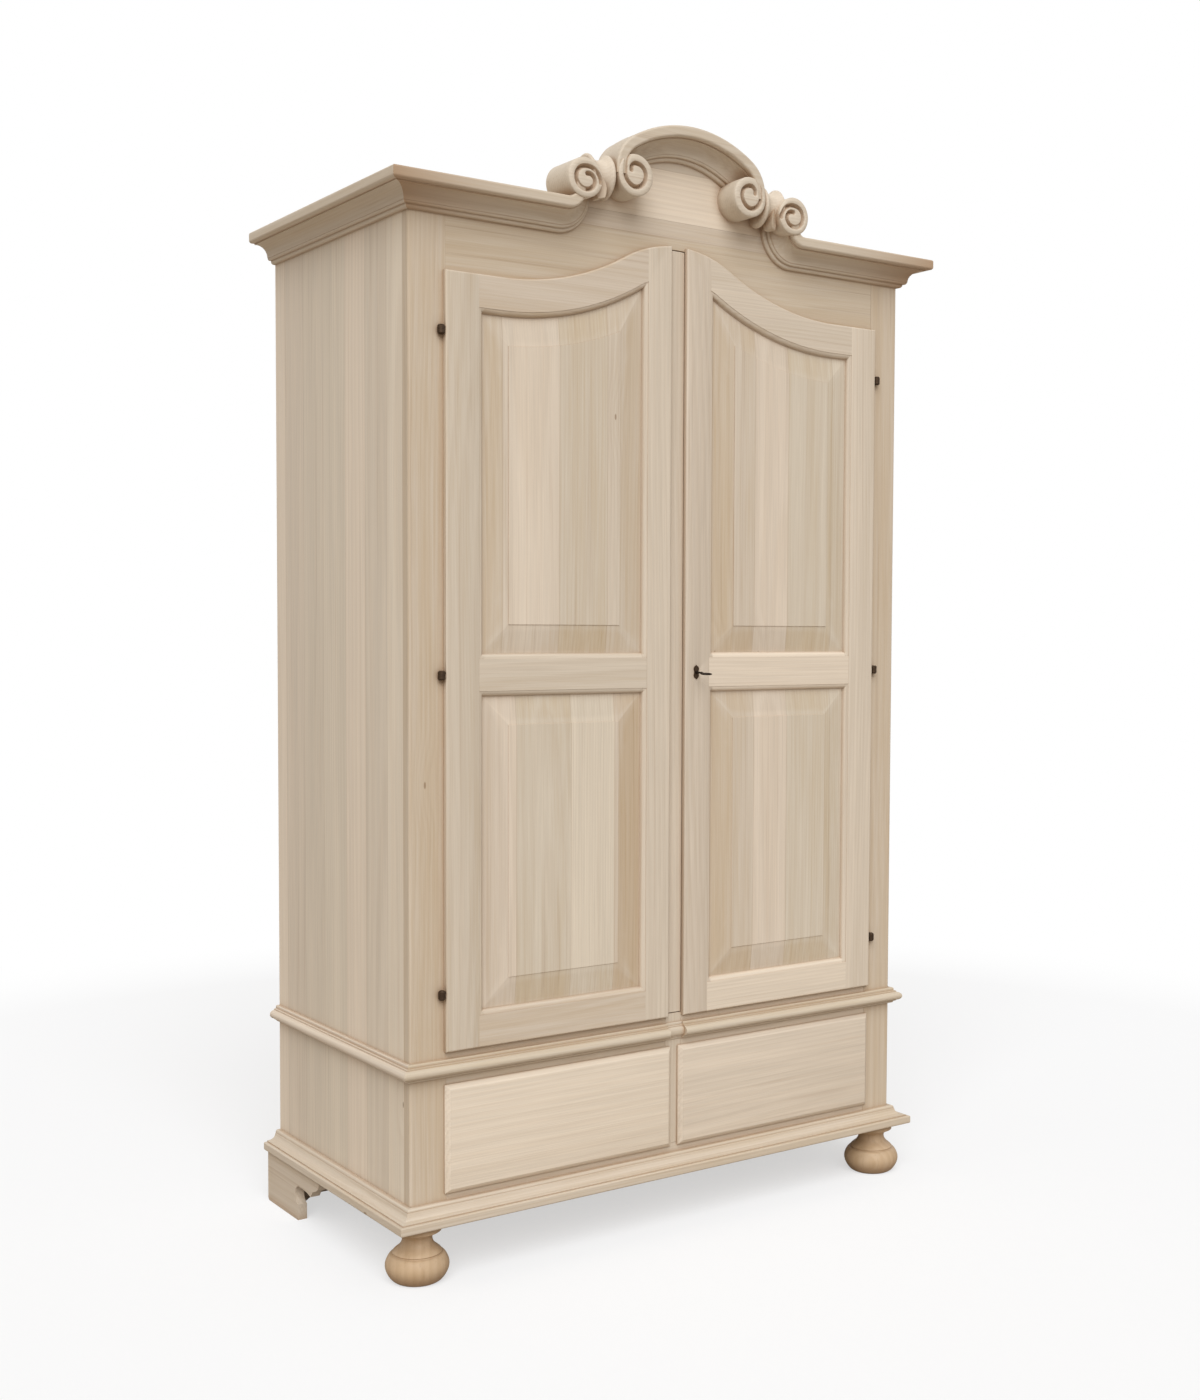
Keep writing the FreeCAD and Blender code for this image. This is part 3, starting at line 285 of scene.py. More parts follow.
def makeWood(name, look, share):
    material, tree, shader = newMaterial(name, {"IOR": share["refraction"]})
    tone, width, rubbed, slanted, quirk = (meshValue(tree, title) for title in (
        "woodTone", "boardWidth", "arrisShare", "cutShare", "quirkShare"))
    place = meshValue(tree, "grainPlace", "Vector")
    boards = addNode(tree, "ShaderNodeGroup", {"Place": place, "Board Width": width, "Tone": tone},
                     node_tree=woodGroups["boards"]).outputs
    figure = addNode(tree, "ShaderNodeGroup", {"Place": boards["Place"], "Ring Spacing": look["ringSpacing"]},
                     node_tree=woodGroups["figure"]).outputs
    rings = times(tree, figure["Rings"], look["ringShare"])
    heart = remap(tree, tone, *share["heart"])
    colour = blendColour(tree, times(tree, boards["Hue"], share["rosy"]), look["light"], look["rosy"])
    colour = blendColour(tree, rings, colour, look["late"])
    colour = blendColour(tree, times(tree, figure["Streak"], heart), colour, look["streak"])
    # shade: the board's tone, fibre and band; the arrises lighter, as wear and painted highlight; the slanted cuts
    # darker, as cut grain and painted shade
    shade = 1.0
    for value, weight in ((tone, share["tone"]), (boards["Tone"], share["boards"]),
                          (figure["Fibre"], look["fibreShade"]), (figure["Band"], share["band"]),
                          (rubbed, share["rubbed"]), (slanted, share["slanted"])):
        shade = calc(tree, "MULTIPLY_ADD", value, weight, shade)
    # a darker board is also a browner one, and the painted shade mixed into the shade above turns brown with it
    darker = calc(tree, "MINIMUM", shade, 1.0)
    red, blue = (times(tree, calc(tree, "POWER", darker, power), shade) for power in share["browner"])
    browner = addNode(tree, "ShaderNodeCombineColor", {0: red, 1: shade, 2: blue})
    colour = blendColour(tree, 1.0, colour, browner, "MULTIPLY")
    colour = blendColour(tree, times(tree, boards["Joint"], share["joint"]), colour, look["streak"])
    colour = blendColour(tree, times(tree, figure["Knot"], share["knot"]), colour, look["knot"])
    # painted shade: ambient occlusion darkens the wood to a brown in the corners, recesses and undersides where shade
    # falls, and in the quirks of the mouldings
    hollow = addNode(tree, "ShaderNodeAmbientOcclusion", {"Distance": look["grimeReach"]}, samples=6)
    grime = remap(tree, hollow.outputs["AO"], *share["openness"], look["grimeShare"], 0.0)
    quirk = times(tree, calc(tree, "POWER", quirk, 2.0), look["quirkShare"])
    colour = blendColour(tree, calc(tree, "MAXIMUM", grime, quirk), colour, look["grime"])
    rough = remap(tree, figure["Fibre"], -1.0, 1.0, *look["roughness"])
    height = times(tree, rings, share["ringHeight"])
    height = calc(tree, "MULTIPLY_ADD", figure["Fibre"], share["fibreHeight"], height)
    height = calc(tree, "SUBTRACT", height, boards["Joint"])
    dressShader(tree, shader, colour, rough, height, share)
    return material


materials = {look["slot"]: makeWood(name, look, woodShade) for name, look in woodLook.items()}
print("woods made:", ", ".join(woodLook))

metalLook = {
    "dark": (0.024, 0.016, 0.011),
    "worn": (0.080, 0.050, 0.030),
    "roughness": (0.66, 0.42),
    "metallic": 0.85,
    "mottleScale": 160.0,
    "patch": (0.52, 0.72),
    "patchShare": 0.35,
    "rubbedShare": 0.75,
    "bump": 0.3,
    "bumpDepth": 0.0003,
}


def makeBronze(look):
    material, tree, shader = newMaterial("darkBronze", {"Metallic": look["metallic"]})
    place = addNode(tree, "ShaderNodeTexCoord").outputs["Object"]
    mottle = addNode(tree, "ShaderNodeTexNoise", {"Vector": place, "Scale": look["mottleScale"], "Detail": 5.0})
    patch = times(tree, remap(tree, mottle, *look["patch"]), look["patchShare"])
    rubbed = times(tree, meshValue(tree, "arrisShare"), look["rubbedShare"])
    colour = blendColour(tree, calc(tree, "MAXIMUM", patch, rubbed), look["dark"], look["worn"])
    dressShader(tree, shader, colour, remap(tree, mottle, 0.3, 0.7, *look["roughness"]), mottle, look)
    return material


materials["dark_bronze"] = makeBronze(metalLook)
print("metal made")

chance = random.Random(41)
bench = {
    "arris": 0.0009,
    "arrisSteps": 2,
    "arrisAngle": 32,
    "smoothAngle": 40,
    "flatAngle": 0.6,
    "slantCosines": (0.85, 0.996),
    "topBevel": 0.02,
    "rubbedArea": 4e-4,
    "logOffset": ((-0.12, 0.12), (0.02, 0.22), (-4, 4)),
    "logTilt": 0.014,
    "oneBoard": 9.0,
    "flatWeight": 60,
    "leastNormal": 0.5,
}


# an empty mesh that can hold the wear and painted highlight of the arrises, and the slanted cuts with their painted
# shade
def blankMesh():
    bm = bmesh.new()
    bm.verts.layers.float.new("arrisShare")
    bm.faces.layers.float.new("cutShare")
    return bm


def newObject(name, data):
    made = bpy.data.objects.new(name, data)
    bpy.context.scene.collection.objects.link(made)
    return made


def bakedMesh(source, **kept):
    graph = bpy.context.evaluated_depsgraph_get()
    mesh = bpy.data.meshes.new_from_object(source.evaluated_get(graph), depsgraph=graph, **kept)
    source.modifiers.clear()
    return mesh


def outward(bm):
    bmesh.ops.recalc_face_normals(bm, faces=bm.faces)


def middleOf(bm):
    return [round(sum(vert.co[i] for vert in bm.verts) / len(bm.verts), 4) for i in (2, 0, 1)]


# a CAD node's boards, each a closed skin of its own, even where two of them touch
def boardsOf(node):
    mesh = nodes[node].data
    spots = [tuple(round(value, 6) for value in vert.co) for vert in mesh.vertices]
    boards, skin, open = [], [], set()
    for face in mesh.polygons:
        corners = [spots[index] for index in face.vertices]
        if len(set(corners)) < 3:
            continue
        skin.append(corners)
        for edge in zip(corners, corners[1:] + corners[:1]):
            if edge[::-1] in open:
                open.remove(edge[::-1])
            else:
                open.add(edge)
        if not open:
            boards.append(skin)
            skin = []
    pieces = []
    for skin in boards + ([skin] if skin else []):
        bm = blankMesh()
        known = {spot: bm.verts.new(spot) for spot in sorted({spot for corners in skin for spot in corners})}
        for corners in skin:
            bm.faces.new([known[spot] for spot in corners])
        bmesh.ops.dissolve_limit(bm, angle_limit=radians(bench["flatAngle"]), verts=bm.verts, edges=bm.edges)
        bm.normal_update()
        pieces.append(bm)
    return sorted(pieces, key=middleOf)


# arrises lightened, as wear and as painted highlight, and the faces cut at a slant through the grain, darkened partly
# for the cut grain and partly as painted shade
def layWear(bm, rubbed=(), fielded=False):
    layer = bm.verts.layers.float["arrisShare"]
    slant = bm.faces.layers.float["cutShare"]
    for face in rubbed:
        for vert in face.verts:
            vert[layer] = 1.0
    # painted shade: on fielded pieces, slanted faces that don't face up are darkened, partly for the grain cut across
    # and partly as the shade that falls on them; the bevels facing up stay light
    for face in bm.faces:
        straight = max(abs(value) for value in face.normal)
        facesUp = face.normal.z > bench["topBevel"]
        if fielded and not facesUp and bench["slantCosines"][0] < straight < bench["slantCosines"][1]:
            face[slant] = 1.0


def softenArrises(bm, size=None, fielded=False):
    limit = radians(bench["arrisAngle"])
    edges = [edge for edge in bm.edges if len(edge.link_faces) == 2 and edge.is_convex
             and edge.calc_face_angle(0) > limit]
    old = set(bm.faces)
    if edges:
        bmesh.ops.bevel(bm, geom=edges, offset=size or bench["arris"], segments=bench["arrisSteps"], profile=0.5,
                        affect="EDGES", clamp_overlap=True, harden_normals=False)
    bm.normal_update()
    rubbed = {face for face in bm.faces if face not in old and face.calc_area() < bench["rubbedArea"]}
    layWear(bm, rubbed, fielded)


def boxOf(bm):
    return [Vector([pick(vert.co[i] for vert in bm.verts) for i in range(3)]) for pick in (min, max)]


# the board's own place in its log: across, depth and along the grain
def layGrain(bm, look):
    low, high = boxOf(bm)
    size = high - low
    order = sorted(range(3), key=lambda i: size[i])
    along = look.get("along", order[2])
    rest = [i for i in order if i != along]
    depth, across = rest
    offset = Vector([chance.uniform(*reach) for reach in bench["logOffset"]])
    tilt = chance.uniform(-bench["logTilt"], bench["logTilt"])
    tone = chance.uniform(-1, 1)
    layers = bm.verts.layers
    laid = [layers.float_vector.new("grainPlace"), layers.float.new("woodTone"), layers.float.new("boardWidth")]
    middle = (low + high) / 2
    deep = look.get("deep", 1.0)
    tone = look.get("tone", tone)
    for vert in bm.verts:
        spot = vert.co - middle
        place = Vector((spot[across], spot[depth] * deep + spot[along] * tilt, spot[along])) + offset
        for layer, value in zip(laid, (place, tone, look.get("boardWidth", bench["oneBoard"]))):
            vert[layer] = value


def joined(parts, name):
    whole = bmesh.new()
    for part in parts:
        keep = bpy.data.meshes.new("part")
        part.to_mesh(keep)
        part.free()
        whole.from_mesh(keep)
        bpy.data.meshes.remove(keep)
    mesh = bpy.data.meshes.new(name)
    whole.to_mesh(mesh)
    whole.free()
    return mesh


def finishPiece(mesh, name, replaced, slot, body, weighted=True):
    mesh.materials.clear()
    mesh.materials.append(materials[slot])
    mesh.shade_smooth()
    mesh.set_sharp_from_angle(angle=radians(bench["smoothAngle"]))
    piece = newObject(name, mesh)
    if weighted:
        modifier = piece.modifiers.new("evenShading", "WEIGHTED_NORMAL")
        modifier.keep_sharp = True
        modifier.weight = bench["flatWeight"]
        baked = bakedMesh(piece, preserve_all_data_layers=True)
        if min(corner.vector.length for corner in baked.corner_normals) > bench["leastNormal"]:
            piece.data = baked
            baked.name = name
    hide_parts(*replaced)
    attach(piece, body)


def camelName(node):
    head, *rest = node.split("_")
    return head + "".join(word.capitalize() for word in rest)


handMade = set()


# a piece in the place of the CAD node that it is named after
def makePiece(node, parts, weighted=True, name=None):
    name = name or camelName(node)
    handMade.add(node)
    finishPiece(joined(parts, name), name, [node], slotOfNode[node], bodyOfNode[node], weighted)


raisedPanel = {"boardWidth": 0.105, "along": 2, "fielded": True, "deep": 0.3}
boardWork = {
    "front_posts": {"tone": -1.8},
    "side_panel_left": {"boardWidth": 0.098, "tone": 2.4},
    "side_panel_right": {"boardWidth": 0.098},
    "top_panel": {"boardWidth": 0.11},
    "wardrobe_floor": {"boardWidth": 0.11},
    "drawer_floor": {"boardWidth": 0.14},
    "hat_shelf": {"boardWidth": 0.12},
    "left_drawer_bottom": {"boardWidth": 0.13},
    "right_drawer_bottom": {"boardWidth": 0.13},
    # the tympanum's lighter tone is painted light, lifting the shade that the arch casts on it
    "tympanum_board": {"along": 0, "boardWidth": 0.12, "tone": 2.2, "arris": 0.0018},
    # the frieze's darker, browner tone is partly painted shade under the cornice and partly its own brown streaks
    "frieze_board": {"along": 0, "boardWidth": 0.16, "tone": -2.8},
    # the rear brackets' darker tone is painted shade, low down by the floor
    "rear_bracket_feet": {"tone": -2.2},
    "left_door_hinge_stile": {"tone": -0.6},
    "left_door_mid_rail": {"tone": 1.2},
    "right_door_mid_rail": {"tone": 1.3},
    "left_door_meeting_stile": {"tone": 1.1},
    "right_door_meeting_stile": {"tone": 1.15},
    "left_drawer_front": {"tone": 1.4, "fielded": True},
    "right_drawer_front": {"tone": 1.5, "fielded": True},
    **{f"{side}_door_{place}_panel": raisedPanel for side in ("left", "right") for place in ("upper", "lower")},
}


def dressNode(node, look):
    parts = boardsOf(node)
    for part in parts:
        softenArrises(part, look.get("arris"), look.get("fielded", False))
        layGrain(part, look)
    makePiece(node, parts)


# scrolls of the crest: a rolled end with rounded bands between deep spiral grooves
scrollWork = {
    "faceY": -0.3355,
    "grooveHalf": 0.0047,
    "grooveDepth": 0.0075,
    "bandRound": 0.0125,
    "bandCrown": 0.0042,
    "rings": 64,
    "turns": 200,
    "crowding": 1.2,
    "rimPull": (1.1, 0.0004),
    "crownPower": 2.2,
    "crownLeft": 0.8,
    "faceDepth": 0.014,
    "cornice_volutes": {
        "centre": (0.257, 2.086),
        "radius": 0.038,
        "backY": -0.2505,
        "path": [(-10, 0.90), (5, 0.83), (45, 0.66), (90, 0.55), (135, 0.56), (180, 0.58), (225, 0.60), (270, 0.59),
                 (315, 0.60), (345, 0.55), (375, 0.42), (400, 0.30), (430, 0.20)],
    },
    "arch_volutes": {
        "centre": (0.141, 2.108),
        "radius": 0.040,
        "backY": -0.2745,
        "path": [(118, 1.0), (135, 0.85), (159, 0.68), (185, 0.65), (227, 0.60), (270, 0.58), (320, 0.54),
                 (365, 0.55), (400, 0.56), (430, 0.55), (460, 0.55), (489, 0.46), (505, 0.36)],
    },
}


def spiralPoints(path, radius, steps=8):
    points = []
    for index in range(len(path) - 1):
        before = path[max(index - 1, 0)]
        start, end = path[index], path[index + 1]
        after = path[min(index + 2, len(path) - 1)]
        for step in range(steps):
            t = step / steps
            share = 0.5 * (2 * start[1] + (end[1] - before[1]) * t
                           + (2 * before[1] - 5 * start[1] + 4 * end[1] - after[1]) * t ** 2
                           + (3 * start[1] - before[1] - 3 * end[1] + after[1]) * t ** 3)
            angle = radians(start[0] + (end[0] - start[0]) * t)
            points.append((share * radius * cos(angle), share * radius * sin(angle)))
    angle = radians(path[-1][0])
    return points + [(path[-1][1] * radius * cos(angle), path[-1][1] * radius * sin(angle))]


def gapTo(points, x, z):
    best = 1e9
    for (ax, az), (bx, bz) in zip(points, points[1:]):
        dx, dz = bx - ax, bz - az
        t = max(0, min(1, ((x - ax) * dx + (z - az) * dz) / (dx * dx + dz * dz)))
        best = min(best, (x - ax - t * dx) ** 2 + (z - az - t * dz) ** 2)
    return sqrt(best)


# how far the carved face falls back from the flat at a place on it
def carvedFall(points, radius, x, z):
    look = scrollWork
    gap = gapTo(points, x, z)
    rim = (radius - hypot(x, z)) * look["rimPull"][0] + look["rimPull"][1]
    groove = look["grooveDepth"] * max(0, 1 - (gap / look["grooveHalf"]) ** 2)
    near = min(gap, rim) / look["bandRound"]
    crown = look["bandCrown"] * (1 - sqrt(max(0, 1 - max(0, 1 - near) ** look["crownPower"])))
    return min(groove + crown, look["grooveDepth"] + look["bandCrown"] * look["crownLeft"])


def makeScroll(look):
    points = spiralPoints(look["path"], look["radius"])
    radius, face = look["radius"], scrollWork["faceY"]
    count, turns = scrollWork["rings"], scrollWork["turns"]
    x0, z0 = look["centre"]
    bm = blankMesh()
    rows = []
    for ring in range(1, count + 1):
        reach = radius * (1 - (1 - ring / count) ** scrollWork["crowding"])
        row = []
        for turn in range(turns):
            angle = 2 * pi * turn / turns
            x, z = reach * cos(angle), reach * sin(angle)
            row.append(bm.verts.new((x - x0, face + carvedFall(points, radius, x, z), z0 + z)))
        rows.append(row)
    centre = bm.verts.new((-x0, face, z0))
    for y in (face + scrollWork["faceDepth"], look["backY"]):
        rows.append([bm.verts.new((vert.co.x, y, vert.co.z)) for vert in rows[count - 1]])
    back = bm.verts.new((-x0, look["backY"], z0))
    for turn in range(turns):
        after = (turn + 1) % turns
        bm.faces.new((centre, rows[0][turn], rows[0][after]))
        for inner, outer in zip(rows, rows[1:]):
            bm.faces.new((inner[turn], outer[turn], outer[after], inner[after]))
        bm.faces.new((back, rows[-1][after], rows[-1][turn]))
    outward(bm)
    layWear(bm)
    layGrain(bm, {"along": 0})
    return bm


# a shape and its mirror image on the other side of the middle
def pairOf(bm):
    other = bm.copy()
    for vert in other.verts:
        vert.co.x = -vert.co.x
    outward(other)
    return [bm, other]


for node in ("cornice_volutes", "arch_volutes"):
    makePiece(node, pairOf(makeScroll(scrollWork[node])), weighted=False)
print("scrolls carved")


# Geometry Nodes trees have named inputs, and their result is baked to a plain mesh
def newGrowth(name, ins):
    return newGroup(name, [("Geometry", "Geometry", None)] + ins, [("Geometry", "Geometry")], "Geometry")


def endGrowth(tree, geometry, material, out):
    whole = addNode(tree, "GeometryNodeRealizeInstances", {"Geometry": geometry})
    made = addNode(tree, "GeometryNodeSetMaterial", {"Geometry": whole, "Material": material})
    return wired(tree, out, {"Geometry": made})


def grown(tree, source, values):
    modifier = source.modifiers.new(tree.name, "NODES")
    modifier.node_group = tree
    sockets = {item.name: item.identifier for item in tree.interface.items_tree if item.in_out == "INPUT"}
    for title, value in values.items():
        modifier[sockets[title]] = value
    mesh = bakedMesh(source)
    bpy.data.objects.remove(source)
    bm = blankMesh()
    bm.from_mesh(mesh)
    bpy.data.meshes.remove(mesh)
    bmesh.ops.remove_doubles(bm, verts=bm.verts, dist=1e-6)
    return bm


def drawnLine(name, points, radii=(), closed=False):
    curve = bpy.data.curves.new(name, "CURVE")
    curve.dimensions = "3D"
    spline = curve.splines.new("POLY")
    spline.points.add(len(points) - 1)
    for spot, point in zip(spline.points, points):
        spot.co = (*Vector(point).to_3d(), 1)
    for spot, radius in zip(spline.points, radii):
        spot.radius = radius
    spline.use_cyclic_u = closed
    return newObject(name, curve)


# a moulding is one profile run along its path, mitred at the ends that turn a corner
def mouldingSweep():
    ins = [("Profile", "Object", None), ("Projection", "Float", 0.05), ("Height", "Float", 0.05),
           ("Mitre Start", "Float", 0.0), ("Mitre End", "Float", 0.0), ("Wood", "Material", None)]
    tree, given, out = newGrowth("mouldingSweep", ins)
    size = addNode(tree, "ShaderNodeCombineXYZ", {"X": given["Height"], "Y": given["Projection"], "Z": 1.0})
    drawn = addNode(tree, "GeometryNodeObjectInfo", {"Object": given["Profile"]}).outputs["Geometry"]
    section = addNode(tree, "GeometryNodeTransform", {"Geometry": drawn, "Scale": size})
    spot = addNode(tree, "ShaderNodeSeparateXYZ", {0: addNode(tree, "GeometryNodeInputPosition")}).outputs
    section = addNode(tree, "GeometryNodeStoreNamedAttribute", {"Geometry": section, "Name": "standOut",
                      "Value": times(tree, spot["Y"], -1.0)}, data_type="FLOAT", domain="POINT")
    share = addNode(tree, "GeometryNodeSplineParameter").outputs["Factor"]
    first = times(tree, calc(tree, "LESS_THAN", share, 0.00001), given["Mitre Start"])
    last = times(tree, calc(tree, "GREATER_THAN", share, 0.99999), given["Mitre End"])
    way = addNode(tree, "ShaderNodeVectorMath", {0: addNode(tree, "GeometryNodeInputTangent"),
                                                 "Scale": calc(tree, "SUBTRACT", last, first)}, operation="SCALE")
    path = addNode(tree, "GeometryNodeSetCurveNormal", {0: given["Geometry"]}, mode="Z_UP")
    path = addNode(tree, "GeometryNodeStoreNamedAttribute", {"Geometry": path, "Name": "mitreWay", "Value": way},
                   data_type="FLOAT_VECTOR", domain="POINT")
    swept = addNode(tree, "GeometryNodeCurveToMesh", {"Curve": path, "Profile Curve": section, "Fill Caps": True})
    reach = addNode(tree, "GeometryNodeInputNamedAttribute", {"Name": "standOut"}, data_type="FLOAT")
    along = addNode(tree, "GeometryNodeInputNamedAttribute", {"Name": "mitreWay"}, data_type="FLOAT_VECTOR")
    shift = addNode(tree, "ShaderNodeVectorMath", {0: along, "Scale": reach}, operation="SCALE")
    mitred = addNode(tree, "GeometryNodeSetPosition", {"Geometry": swept, "Offset": shift})
    return endGrowth(tree, mitred, given["Wood"], out)


mouldingTree = mouldingSweep()
mouldingWork = {
    "quirkAngle": 0.4,
    "frontY": -0.2745,
    "backY": 0.3355,
    "halfWidth": 0.6025,
    "arcSteps": 7,
    "bendSteps": 18,
    "cornice": {
        # a darker, browner tone for the cornice, its returns and the arch moulding: painted shade, as on a moulding
        # that faces down
        "board": {"tone": -1.2},
        "projection": 0.057,
        "height": 0.060,
        "low": 1.988,
        "profile": [(0.0, 0.0), (0.05, 0.0), (0.13, 0.03, 0.16, 0.10), (0.16, 0.125), (0.19, 0.125),
                    (0.27, 0.15, 0.28, 0.20), (0.30, 0.20), (0.30, 0.24), (0.43, 0.50, 0.79, 0.60),
                    (0.79, 0.635), (0.90, 0.635), (0.97, 0.66, 1.0, 0.73), (1.0, 0.92),
                    (0.975, 0.98, 0.91, 1.0), (0.0, 1.0)],
        "sweepCentre": (0.290, 2.063),
        "sweepRadius": 0.075,
        "stemTop": 2.086,
    },
    "arch": {
        "crownCentre": (0.0, 1.950),
        "crownRadius": 0.215,
        "shoulderCentre": (0.108, 2.11833),
        "shoulderRadius": 0.015,
        "stemFoot": 2.108,
        "bendSteps": 8,
    },
    "waist": {
        "projection": 0.022,
        "height": 0.035,
        "low": 0.383,
        "profile": [(0.0, 0.0), (0.14, 0.0), (0.28, 0.03, 0.36, 0.12), (0.55, 0.16), (0.55, 0.22),
                    (1.0, 0.47, 0.62, 0.72), (0.55, 0.74), (0.55, 0.80), (0.36, 0.83), (0.36, 0.92),
                    (0.33, 0.98, 0.27, 1.0), (0.0, 1.0)],
        "blockHalf": 0.020,
        "blockProjection": 0.011,
    },
    "base": {
        "projection": 0.037,
        "height": 0.040,
        "low": 0.108,
        "profile": [(0.0, 0.0), (0.90, 0.0), (0.97, 0.03, 1.0, 0.10), (1.0, 0.36), (0.98, 0.41, 0.92, 0.43),
                    (0.80, 0.43), (0.80, 0.48), (0.71, 0.50), (0.41, 0.60, 0.30, 0.82), (0.27, 0.84),
                    (0.24, 0.96, 0.14, 1.0), (0.0, 1.0)],
    },
}


# the circle through three places, walked from the first to the last
def arcThrough(a, b, c, steps):
    ax, ay, bx, by, cx, cy = *a, *b, *c
    squares = [x * x + y * y for x, y in (a, b, c)]
    twice = 2 * (ax * (by - cy) + bx * (cy - ay) + cx * (ay - by))
    ux = (squares[0] * (by - cy) + squares[1] * (cy - ay) + squares[2] * (ay - by)) / twice
    uy = (squares[0] * (cx - bx) + squares[1] * (ax - cx) + squares[2] * (bx - ax)) / twice
    radius = hypot(ax - ux, ay - uy)
    start, middle, end = (atan2(y - uy, x - ux) for x, y in (a, b, c))
    turn = (end - start) % (2 * pi)
    if (middle - start) % (2 * pi) > turn:
        turn -= 2 * pi
    return [(ux + radius * cos(start + turn * step / steps), uy + radius * sin(start + turn * step / steps))
            for step in range(1, steps + 1)]


# a profile in shares: out from the wall and up, four numbers for an arc through a middle place
def profileLine(look):
    out, up = look["projection"], look["height"]
    points = [(0.0, 0.0)]
    for step in look["profile"][1:]:
        if len(step) == 2:
            points.append((step[0] * out, step[1] * up))
        else:
            points += arcThrough(points[-1], (step[0] * out, step[1] * up), (step[2] * out, step[3] * up),
                                 mouldingWork["arcSteps"])
    return drawnLine("mouldingProfile", [(y / up, -x / out) for x, y in points], closed=True)


def bend(centre, radius, start, end, steps):
    angles = [radians(start + (end - start) * step / steps) for step in range(steps + 1)]
    return [(centre[0] + radius * cos(angle), centre[1] + radius * sin(angle)) for angle in angles]


def sweptRun(look, path, mitres, side=False, projection=None):
    profile = profileLine(look)
    values = {"Profile": profile, "Projection": projection or look["projection"], "Height": look["height"],
              "Mitre Start": mitres[0], "Mitre End": mitres[1], "Wood": materials["pale_wood"]}
    bm = grown(mouldingTree, drawnLine("mouldingPath", path), values)
    bpy.data.objects.remove(profile)
    for vert in bm.verts:
        x, y, out = vert.co
        vert.co = (mouldingWork["halfWidth"] + out, x, y) if side else (x, mouldingWork["frontY"] - out, y)
    outward(bm)
    # painted shade: the vertices along the mouldings' concave quirks are marked, so that the wood darkens brown there
    quirk = bm.verts.layers.float.new("quirkShare")
    for edge in bm.edges:
        if len(edge.link_faces) == 2 and not edge.is_convex and edge.calc_face_angle(0) > mouldingWork["quirkAngle"]:
            for vert in edge.verts:
                vert[quirk] = 1.0
    layGrain(bm, look.get("board", {}))
    return bm


def sideRun(look):
    path = [(mouldingWork["backY"], look["low"]), (mouldingWork["frontY"], look["low"])]
    return pairOf(sweptRun(look, path, (0.0, 1.0), side=True))


def archPath(look):
    x, z = look["shoulderCentre"]
    lean = degrees(atan2(z - look["crownCentre"][1], x))
    half = [(x + look["shoulderRadius"], look["stemFoot"])]
    half += bend(look["shoulderCentre"], look["shoulderRadius"], 0, lean, look["bendSteps"])
    half += bend(look["crownCentre"], look["crownRadius"], lean, 90, mouldingWork["bendSteps"])[1:]
    return half + [(-x, z) for x, z in reversed(half[:-1])]


def makeMouldings():
    edge = mouldingWork["halfWidth"]
    cornice, waist, base = (mouldingWork[name] for name in ("cornice", "waist", "base"))
    path = [(edge, cornice["low"])]
    path += bend(cornice["sweepCentre"], cornice["sweepRadius"], 270, 180, mouldingWork["bendSteps"])
    path.append((cornice["sweepCentre"][0] - cornice["sweepRadius"], cornice["stemTop"]))
    makePiece("cornice_fronts", pairOf(sweptRun(cornice, path, (1.0, 0.0))))
    makePiece("cornice_returns", sideRun(cornice))
    makePiece("arch_moulding", [sweptRun(cornice, archPath(mouldingWork["arch"]), (0.0, 0.0))])
    run = sweptRun(waist, [(edge, waist["low"]), (waist["blockHalf"], waist["low"])], (1.0, 0.0))
    block = sweptRun(waist, [(waist["blockHalf"], waist["low"]), (-waist["blockHalf"], waist["low"])], (0.0, 0.0),
                     projection=waist["blockProjection"])
    makePiece("waist_mouldings", pairOf(run) + sideRun(waist) + [block])
    run = sweptRun(base, [(edge, base["low"]), (-edge, base["low"])], (1.0, 1.0))
    makePiece("base_mouldings", [run] + sideRun(base))


makeMouldings()
print("mouldings run")


# round heads set on marked places, slotted for screws and plain for nails
fixingWork = {
    "screw": {"Head Radius": 0.0032, "Head Rise": 0.0011, "Slot Width": 0.0008, "Slotted": True},
    "pin": {"Head Radius": 0.0012, "Head Rise": 0.0006, "Slotted": False},
    "nail": {"Head Radius": 0.0030, "Head Rise": 0.0007, "Slotted": False},
    "facets": 14,
    "domeSteps": 6,
    "domeShare": 0.97,
    "slotReach": 3.0,
    "turnReach": 3.14,
    "plateInset": 0.007,
    "slideInset": 0.004,
    "slidePlateFace": -0.2605,
    "nailInset": 0.022,
}


